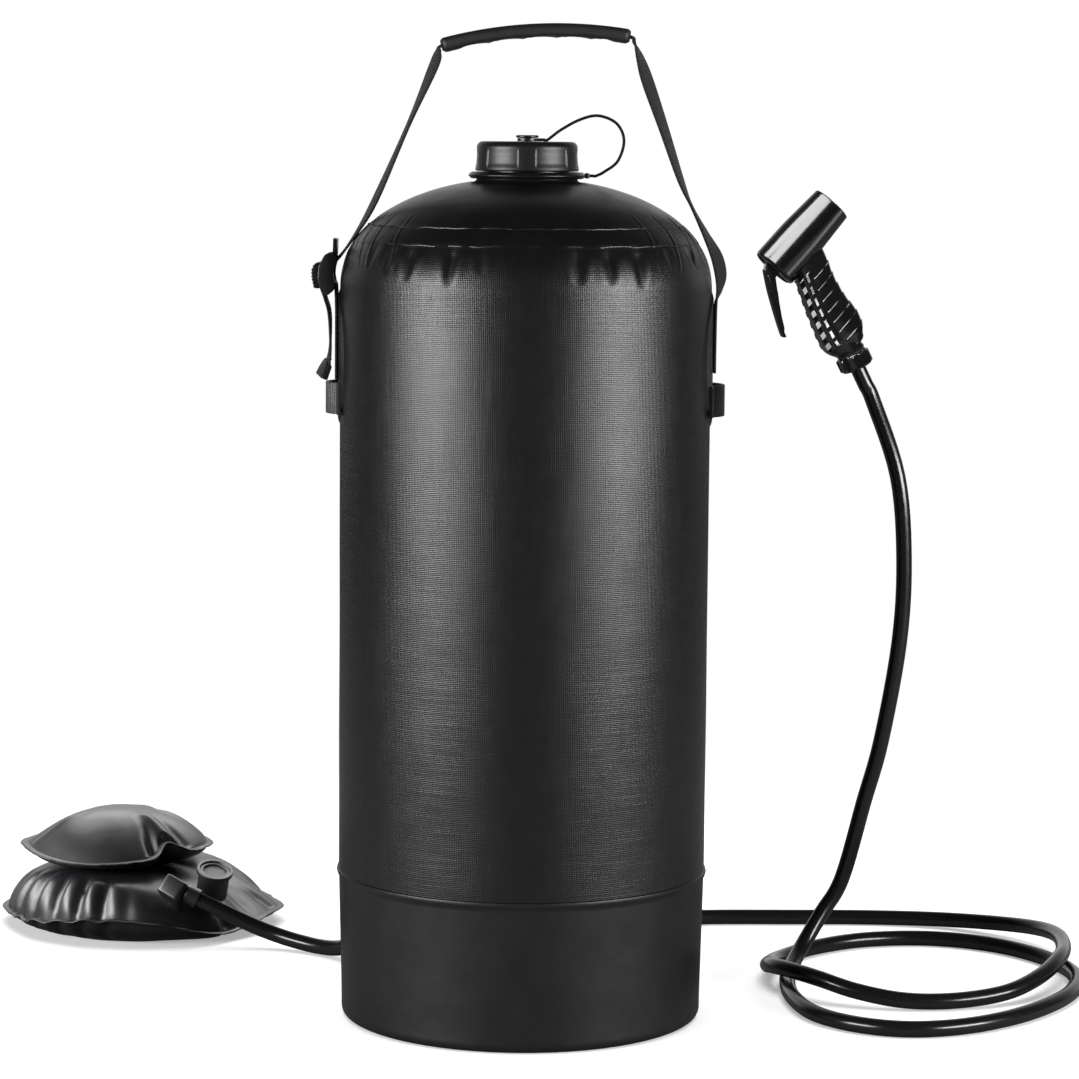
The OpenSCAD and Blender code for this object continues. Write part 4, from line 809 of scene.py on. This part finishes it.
def pillow(name, centre, radius, seam, crown, floor, outline, seam_height, fullness, dents, nodes):
    """A welded pillow: crown, thin seam flange and belly, in rows from the top's middle to the bottom's."""
    n = 240
    rows = []
    top = [0.004, 0.1, 0.2, 0.3, 0.4, 0.48, 0.56, 0.63, 0.69, 0.74, 0.79, 0.83, 0.87, 0.9, 0.925, 0.945,
           0.96, 0.972, 0.982, 0.99, 0.996, 1.0]
    edge = [(0, LIP_HALF), (2.6, 0.75), (3.7, 0.55), (4.1, 0), (3.7, -0.55), (2.6, -0.75), (0, -LIP_HALF)]
    under = [0.985, 0.96, 0.925, 0.88, 0.82, 0.74, 0.6, 0.4, 0.2, 0.004]
    for kind, values in (("top", top), ("edge", edge), ("under", under)):
        for value in values:
            row = []
            for j in range(n):
                deg = 360 * j / n - 180
                r_in = radius * outline(deg) - LIP_W
                z_in = seam + seam_height(deg)
                if kind == "edge":
                    r, z = r_in + value[0], z_in + value[1]
                    r += 0.3 * noise.noise((deg / 7, radius, 0))
                    z += 0.5 * noise.noise((deg / 5, radius, 3)) * min(1, value[0] / 3)
                else:
                    r = r_in * value
                    if kind == "top":
                        power, ease = fullness(deg)
                        full = (1 - value ** power) ** ease
                        z = z_in * (1 - full) + full * (seam + crown) + LIP_HALF
                    else:
                        full = min(1, ((1 - value ** 4) / (1 - 0.74 ** 4)) ** 0.5)
                        z = (z_in - LIP_HALF) * (1 - full) + full * floor
                    dr, dz = dents(deg, value, kind)
                    r, z = r + dr, z + dz
                x, y = sind(deg), -cosd(deg)
                row.append((centre[0] + r * x, centre[1] + r * y, max(z, floor)))
            rows.append(row)
    bm = grid(rows, caps=(True, True), uv=lambda i, j: (j * 0.002, i * 0.004))
    obj = make(name, bm, "smooth_sheet", nodes=nodes, sharp=60, mat=pump_sheet)
    return obj


# Puckers along the lower pillow's seam: angle from the front, depth
PUCKERS = [(-68, 0.8), (-51.5, 0.9), (-37, 1.3), (-24, 1.4), (-12, 1.0), (-1, 0.3), (47, 0.8), (58, 0.7),
           (84, 0.6), (97, 0.7)]
angle = 110.0
while angle < 285:
    PUCKERS.append((apart(angle, 0), rng.uniform(0.4, 0.9)))
    angle += rng.uniform(10, 19)


def low_outline(deg):
    tip = near(deg, -91, 11) + near(deg, 92, 11)
    return 0.955 + 0.045 * tip + 0.004 * sind(13 * deg)


def low_seam(deg):
    """The seam rides up at the front, drops at the right front and lies low at the sides."""
    wave = 1.1 * sind((deg + 9) * 360 / 13.3) * ramp(deg, -72, -62) * (1 - ramp(deg, -14, -4))
    return 8.5 * near(deg, -8, 34) - 5 * near(deg, 42, 18) + 1.5 + wave


def low_fullness(deg):
    """Steep at the front and left, falling off gently at the right."""
    front = near(deg, -35, 42)
    right = near(deg, 78, 40)
    return 4.6 + 5.4 * front - 2.6 * right, 0.78 - 0.24 * front + 0.2 * right


def low_dents(deg, value, kind):
    dr = dz = 0
    for at, share in PUCKERS:
        d = apart(deg, at)
        if abs(d) < 15:
            pull = ramp(value, 0.74, 0.9) * (1 - 0.35 * ramp(value, 0.985, 1.0))
            dr -= 3.4 * share * pull * bell(d, 3)
            dz -= 1.8 * share * pull * bell(d, 3) * (kind == "top")
    x, y = sind(deg) * value, cosd(deg) * value
    if kind == "top":
        dz += 1.2 * noise.noise((x * 2.3, y * 2.3, 5)) * (1 - value ** 8) * ramp(value, 0.42, 0.6)
        dz += 1.5 * near(deg, -30, 40) * bell(value - 0.86, 0.05)
        dz -= 3.0 * near(deg, 66, 5) * bell(value - 0.85, 0.12)
        dz -= 2.4 * near(deg, 104, 5) * bell(value - 0.86, 0.1)
    return dr, dz


def up_outline(deg):
    tip = near(deg, -92, 13) + near(deg, 90, 13)
    return 0.95 + 0.05 * tip - 0.13 * near(deg, 45, 9) + 0.02 * near(deg, 29, 5)


def up_seam(deg):
    return -3.6 * near(deg, -14, 44) + 7.5 * near(deg, 46, 11) + 1.0


def up_fullness(deg):
    """Straight slope to the left tip, rounder elsewhere."""
    return 2.3 + 0.3 * near(deg, 90, 50), 0.93 + 0.36 * near(deg, -104, 62)


def up_dents(deg, value, kind):
    dz = 0
    if kind == "top":
        rim = 1 - ramp(value, 0.95, 1.0)
        dz -= 6.5 * near(deg, 33, 4.5) * ramp(value, 0.62, 0.92) * rim
        dz += 4.2 * near(deg, 46, 8) * ramp(value, 0.42, 0.66) * rim
        dz -= 3.0 * near(deg, 60, 5) * ramp(value, 0.55, 0.85) * rim
        dz += 1.6 * (near(deg, -72, 5) + near(deg, 96, 6)) * ramp(value, 0.3, 0.62) * rim
        dz += 1.2 * (near(deg, -150, 9) + near(deg, 146, 9)) * ramp(value, 0.3, 0.6) * rim
        x, y = sind(deg) * value, cosd(deg) * value
        dz += 1.0 * noise.noise((x * 2.0, y * 2.0, 11)) * (1 - value ** 6) * ramp(value, 0.1, 0.5)
    return 0, dz


pillow("pump_lower_pillow", (-257, 242), radius=95, seam=9, crown=33, floor=0, outline=low_outline,
       seam_height=low_seam, fullness=low_fullness, dents=low_dents,
       nodes=("pump_floor_panel", "pump_lower_top", "pump_lower_foam"))
upper = pillow("pump_upper_pillow", (-274, 240), radius=65, seam=53, crown=24.9, floor=44, outline=up_outline,
               seam_height=up_seam, fullness=up_fullness, dents=up_dents,
               nodes=("pump_upper_top", "pump_upper_bottom", "pump_upper_foam"))
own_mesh(upper)


# Pump fittings

elbow_outline = []
for corner_x, corner_y, start in ((4.5, -5, 270), (4.5, 5, 0), (-5.6, 4.6, 90), (-5.6, -4.6, 180)):
    corner_r = 3 if corner_x > 0 else 3.4
    elbow_outline += [(corner_x + corner_r * cosd(a), corner_y + corner_r * sind(a))
                      for a in range(start, start + 91, 15)]
bm = plate(elbow_outline, -8.5, 5, SOCKET @ turned(-20, "Z") @ turned(-25, "X"), 1.5)
# The hose socket, with two slots round its front side
SOCKET_R = 6.5
socket = [(SOCKET_R, d) for d in (7.2, 8.8, 9.1, 9.4, 10.9, 11.2, 12.2, 12.5, 12.8, 14.1, 14.4, 15.2)]
socket_rows = []
for r0, d in [(6.2, 6.5)] + socket + [(6.2, 15.8), (5.2, 16)]:
    row = []
    slot = max(ramp(d, 8.9, 9.3) - ramp(d, 10.9, 11.2), ramp(d, 12.3, 12.7) - ramp(d, 14.1, 14.4))
    for j in range(64):
        a = tau * j / 64
        r = r0 - 0.9 * slot * (1 - ramp(abs(apart(j / 64 * 360, 292)), 20, 27))
        row.append((d, r * cos(a), r * sin(a)))
    socket_rows.append(row)
grid(placed(socket_rows, SOCKET), bm=bm)
revolve(fillet([(6, -20), (6, 0)], 0.3), 40, ELBOW @ turned(40, "X"), bm=bm)
make("outlet_elbow_moulding", bm, "moulded_satin", nodes=("outlet_elbow",), sharp=35)

INTAKE = Matrix.Translation((-206.3, 193.8, 28.5)) @ turned(10, "Y") @ turned(20, "X")
collar = fillet([(8.75, 0), (10.25, 0), (10.25, 17), (12, 17), (12, 20), (10, 20), (9.8, 18.9), (7.75, 18.9),
                 (7.75, 17.8), (8.75, 17.8), (8.75, 0)], 0.5)
bm = revolve(collar, 96, INTAKE)
spoke = [(-9.5, -1.1), (9.5, -1.1), (9.5, 1.1), (-9.5, 1.1)]
for k in range(3):
    plate(spoke, 10, 11.6, INTAKE @ turned(60 * k, "Z"), 0.3, bm)
make("intake_collar_moulding", bm, "moulded_satin", nodes=("intake_collar",), sharp=35)


# Spray gun

gun_plastic = moulding("gun_plastic", (0.003, 0.003, 0.0034), 0.17, 0.000003, 0.75)
ALONG = GUN @ turned(90, "Y")
BARREL_R, BARREL_REAR, REAR_ROUND = 14.7, -24.6, 2.4
barrel_profile = [(0.02, BARREL_REAR)]
barrel_profile += [(BARREL_R - REAR_ROUND * (1 - sind(a)), BARREL_REAR + REAR_ROUND * (1 - cosd(a)))
                   for a in range(0, 91, 9)]
barrel_profile += [(BARREL_R, -21 + k) for k in range(15)] + [(14.68, 0), (14.6, 3), (13.7, 17)]
barrel_profile += fillet([(12.95, 29), (12.85, 31), (10.7, 31), (10.55, 17), (0.02, 17)], 0.7)
SIDEWAYS = GUN @ ACROSS
slot_box = plate([(-30, -18), (-13.5, -18), (-13.5, 12.4), (-30, 12.4)], -3.8, 3.8, SIDEWAYS, 0)
barrel = make("gun_barrel", revolve(barrel_profile, 144, ALONG), "moulded_gloss", nodes=("gun_body",),
              sharp=50, mat=gun_plastic)
carve(barrel, slot_box)

# The handle's rear, front and half width at heights below the barrel's axis
HANDLE_REAR = [(-71, -36), (-64, -40), (-58, -40), (-37, -30.6), (-15, -19.4), (-6, -15)]
HANDLE_FRONT = [(-71, -17), (-66, -10.4), (-57, -6.9), (-45, -5.6), (-32, -1.8), (-16, 5.9), (-6, 9)]
HANDLE_HALF = [(-71, 7.5), (-64, 9.6), (-50, 10.2), (-30, 9.2), (-6, 9.6)]
RIB_PITCH, RIB_FIRST = 6.95, -14.55


def table_value(z, table):
    for (z0, a), (z1, b) in zip(table, table[1:]):
        if z <= z1:
            return a + (b - a) * max(0, min(1, (z - z0) / (z1 - z0)))
    return table[-1][1]


def eased(z, table):
    return sum(table_value(z + d, table) for d in (-3, -1.5, 0, 1.5, 3)) / 5


def handle_rows():
    """Raked grip: lapped ribs on the front half, wedge pads down the side, stepped notches at the rear."""
    rows = []
    for k in range(300):
        z = -6 - 65.5 * k / 299
        phase = ((RIB_FIRST - z) / RIB_PITCH) % 1
        after = (phase + 0.07) % 1
        ribbed = ramp(-z, 20.4, 21.2) * (1 - ramp(-z, 70.4, 71.2))
        toothed = ramp(-z, 16, 17) * (1 - ramp(-z, 62.4, 63.4))
        rib = 0.55 * ramp(phase, 0, 0.06) * (1 - phase) * ribbed
        slope = 1.8 + 1.1 * ramp(-z, 46, 54)
        pad = 0.3 + slope * (phase - 0.34)
        pad *= ramp(phase, 0.32, 0.36) * (1 - ramp(phase, 0.93, 0.97)) * toothed
        notch = ramp(after, 0, 0.05) * (1 - ramp(after, 0.5, 0.56)) * toothed
        rear, front, half = eased(z, HANDLE_REAR), eased(z, HANDLE_FRONT), eased(z, HANDLE_HALF)
        deep = (front - rear) / 2
        row = []
        for j in range(280):
            a = tau * j / 280
            c, s = cos(a), sin(a)
            flat = 0.8 if c > 0 else 0.8 - 0.2 * toothed
            lift = rib * ramp(c, -0.1, 0.02)
            x = copysign(abs(c) ** flat, c) * (deep + lift)
            y = abs(s) ** flat * (half + lift)
            y += pad * ramp(x, -0.61 * deep, -0.58 * deep) * (1 - ramp(x, -0.45 * deep, -0.42 * deep))
            step = (half - 2 + 1.8 * after) * (1 - ramp(-x, 0.96 * deep, 0.999 * deep))
            y += notch * ramp(-x, 0.7 * deep, 0.74 * deep) * (step - y)
            row.append(((rear + front) / 2 + x, copysign(y, s), z))
        rows.append(row)
    return rows


bm = grid(placed(handle_rows(), GUN), caps=(True, True), uv=lambda i, j: (j * 0.0006, i * 0.0005))
revolve(fillet([(0.02, 58), (9, 58), (9, 76.4), (0.02, 76.4)], 0.6), 64, HANDLE, bm=bm)
make("gun_handle", bm, "moulded_gloss", sharp=30, mat=gun_plastic)

PIN_R, PIN_HALF = 1.5, 11.2
pin_at = GUN @ Matrix.Translation((-19.5, 0, 7.5)) @ turned(90, "X")
pin = fillet([(0.02, -PIN_HALF), (PIN_R, -PIN_HALF), (PIN_R, PIN_HALF), (0.02, PIN_HALF)], 0.3)
make("trigger_pin_rod", revolve(pin, 32, pin_at), "steel", nodes=("trigger_pin",))

# The trigger in the gun's X and Z: its head, its lever between two edges, and a thicker ridge on the lever
head = fillet([(-21.5, -3.6), (-18, 11), (-22.4, 10.6), (-24.8, 6.4), (-28.6, 4), (-34.5, -3.6),
               (-37.4, -7.9), (-33, -10.9), (-27.4, -4)], 1.2, 3)
back = smooth([(-28.8, 4.7, 0), (-36, -5.4, 0), (-41.3, -14, 0), (-46.9, -23.6, 0), (-51.3, -31.9, 0),
               (-51.2, -34.2, 0)], 4)
inner = smooth([(-49.9, -34.6, 0), (-48.4, -30.9, 0), (-47, -29.8, 0), (-43.4, -24.3, 0), (-37.5, -16.4, 0),
                (-33, -10.9, 0), (-30.2, -5, 0), (-28.7, -0.2, 0), (-27.3, 4.2, 0)], 4)
bm = plate(head, -3.3, 3.3, SIDEWAYS, 0.7)
plate([(p.x, p.y) for p in back + inner], -3.2, 3.2, SIDEWAYS, 1.5, bm)
ridge = [back[2 + 4 * k].lerp(inner[-3 - 6 * k], 0.45) for k in range(5)]
plate([(p.x, p.y) for p in ridge + [inner[4]] + inner[8:-2:4]], -4.4, 4.4, SIDEWAYS, 1.1, bm)
make("trigger_moulding", bm, "moulded_gloss", "trigger", ("trigger",), mat=gun_plastic)

COIL_R, COIL_START, COIL_L = 4.4, 8.55, 7.9
coil = [GUN @ Vector((COIL_START + COIL_L * k / 144, COIL_R * cosd(10 * k), COIL_R * sind(10 * k)))
        for k in range(145)]
spring = make("valve_spring_wire", sweep(coil, None, circle(0.5, 8)), "steel", nodes=("valve_spring",))
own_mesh(spring)


NUT_R, NUT_BORE, NUT_LUGS = 9.8, 5.2, 8


def nut_rows():
    """A hose nut with broad lugs round its skirt."""
    side = [(NUT_BORE, 0), (9.2, 0), (9.7, 0.3)]
    side += [(NUT_R, t) for t in (0.7, 1.0, 1.4, 3, 5, 7, 8.6, 9.0, 9.3)]
    side += [(9.7, 9.7), (9.2, NUT_L), (NUT_BORE, NUT_L)]
    rows = []
    for r0, t in side:
        row = []
        for j in range(320):
            off = j / 320 * NUT_LUGS % 1 - 0.5
            lug = (1 - ramp(abs(off), 0.2, 0.34)) * ramp(t, 0.6, 1.4) * (1 - ramp(t, 8.6, 9.4))
            r = r0 + 1.3 * lug * (r0 == NUT_R)
            a = tau * j / 320
            row.append((r * cos(a), r * sin(a), NUT_Z + t))
        rows.append(row)
    return rows


make("hose_nut_moulding", grid(placed(nut_rows(), HANDLE), uv=lambda i, j: (j * 0.0002, i * 0.001)),
     "moulded_gloss", "nut", ("hose_nut",), 45, gun_plastic)


# Floor, background and light

def floor_material():
    """Pale floor: white to the camera apart from soft shadows, dim in reflections, white far off."""
    mat = bpy.data.materials.new("pale_floor")
    tree = Tree(mat)
    seen = tree.add("ShaderNodeLightPath").outputs["Is Camera Ray"]
    # Grey 0.75 to the camera and 0.16 to other rays
    tone = tree.math("ADD", tree.math("MULTIPLY", seen, 0.59), 0.16)
    grey = tree.add("ShaderNodeCombineColor", {"Red": tone, "Green": tone, "Blue": tone}).outputs[0]
    glow = tree.math("MULTIPLY", seen, 0.35)
    shader = tree.put(tree.nodes["Principled BSDF"], {
        "Base Color": grey, "Roughness": 0.8, "Specular IOR Level": 0.1, "Emission Color": (1, 1, 1, 1),
        "Emission Strength": glow})
    place = tree.add("ShaderNodeTexCoord").outputs["Object"]
    reach = tree.add("ShaderNodeVectorMath", {0: place}, operation="LENGTH").outputs["Value"]
    far = tree.math("MULTIPLY", tree.rise(reach, 0.5, 0.85, interpolation_type="SMOOTHSTEP"), seen)
    white = tree.add("ShaderNodeEmission", {"Color": (1, 1, 1, 1), "Strength": 1.0}).outputs[0]
    tree.mixed(far, shader.outputs[0], white, "Material Output")
    return mat


bm = bmesh.new()
bmesh.ops.create_grid(bm, x_segments=1, y_segments=1, size=12.0)
mesh = bpy.data.meshes.new("floor")
bm.to_mesh(mesh)
bm.free()
mesh.materials.append(floor_material())
floor = link(bpy.data.objects.new("floor", mesh))
floor.location = (0, 0.1, -0.0002)


def world():
    """White behind the object, also low in its reflections; dim towards the camera and above."""
    made = bpy.data.worlds.new("studio")
    scene.world = made
    tree = Tree(made)
    way = tree.add("ShaderNodeSeparateXYZ", {0: tree.add("ShaderNodeTexCoord").outputs["Generated"]}).outputs
    back, low = tree.rise(way["Y"], 0.55, 0.95), tree.rise(way["Z"], 0.45, 0.1)
    dim = tree.between(back, 0.03, 0.6)
    room = tree.put(tree.nodes["Background"], {"Color": (1, 1, 1, 1), "Strength": dim})
    white = tree.add("ShaderNodeBackground", {"Color": (1, 1, 1, 1), "Strength": 1.0}).outputs[0]
    ray = tree.add("ShaderNodeLightPath").outputs
    mirrored = tree.math("MAXIMUM", ray["Is Glossy Ray"], ray["Is Transmission Ray"])
    behind = tree.math("MULTIPLY", mirrored, tree.math("MULTIPLY", back, low))
    shown = tree.math("MAXIMUM", ray["Is Camera Ray"], behind)
    tree.mixed(shown, room.outputs[0], white, "World Output")


world()


def softbox(name, aim, away, size, watts, onto=None, along=(0, 0, 1)):
    """A soft light away from its aim, second side along a direction; onto limits it to some pieces."""
    data = bpy.data.lights.new(name, "AREA")
    data.shape = "RECTANGLE"
    data.size, data.size_y = size
    data.energy = watts
    obj = link(bpy.data.objects.new(name, data))
    back = Vector(away).normalized()
    side = Vector(along).cross(back).normalized()
    turn = Matrix((side, back.cross(side), back)).transposed()
    obj.matrix_world = Matrix.Translation(aim + Vector(away)) @ turn.to_4x4()
    if onto:
        group = bpy.data.collections.new(name + "_pieces")
        for piece in onto:
            group.objects.link(piece)
        obj.light_linking.receiver_collection = group


def pieces(*words):
    """The meshes and curves whose names start with one of some words."""
    return [o for o in scene.objects if o.type in ("MESH", "CURVE") and o.name.startswith(words)]


bag_at, floor_at = Vector((0, 0, 0.5)), Vector((0, 0.1, 0))
gun_at, pump_at = Vector((0.171, 0.115, 0.467)), Vector((-0.25, 0.2, 0.05))
gun_pieces = pieces("gun_", "trigger", "hose_nut", "spray_plate", "hose_tail", "tail_washer")
grip_pieces = pieces("gun_handle", "trigger", "hose_nut")
pump_pieces = pieces("pump_lower", "pump_upper", "outlet_elbow", "intake")
# The gun and the right keeper loop stay dark on their right
others = [o for o in pieces("") if o not in gun_pieces + pieces("right_keeper")]
barrel_way = GUN.to_3x3() @ Vector((1, 0, 0))
softbox("left_box", bag_at, (-1.57, -1.06, 0.05), (1.25, 0.4), 40)
softbox("right_box", bag_at, (1.62, -0.98, 0.05), (1.2, 0.4), 36.5, others)
softbox("overhead", floor_at, (0, 0, 2.2), (2.2, 2.2), 66, [floor], (0, 1, 0))
softbox("gun_key", gun_at, (-0.57, -0.59, 0.575), (1.45, 0.9), 46, gun_pieces, barrel_way)
softbox("gun_fill", gun_at, (0.54, -0.24, -0.41), (0.2, 0.6), 0.75, [barrel], barrel_way)
softbox("grip_key", gun_at, (-0.13, -0.88, 0.45), (0.7, 0.7), 13, grip_pieces)
softbox("gun_top", gun_at, (0.5, -0.1, 0.6), (0.6, 0.4), 7, gun_pieces)
softbox("pump_side", pump_at, (-0.85, -0.22, 0.45), (1.3, 0.5), 30, pump_pieces)
softbox("pump_back", pump_at, (0.1, 0.75, 0.85), (1.4, 0.8), 16, pump_pieces)

scene.view_settings.view_transform = "Standard"
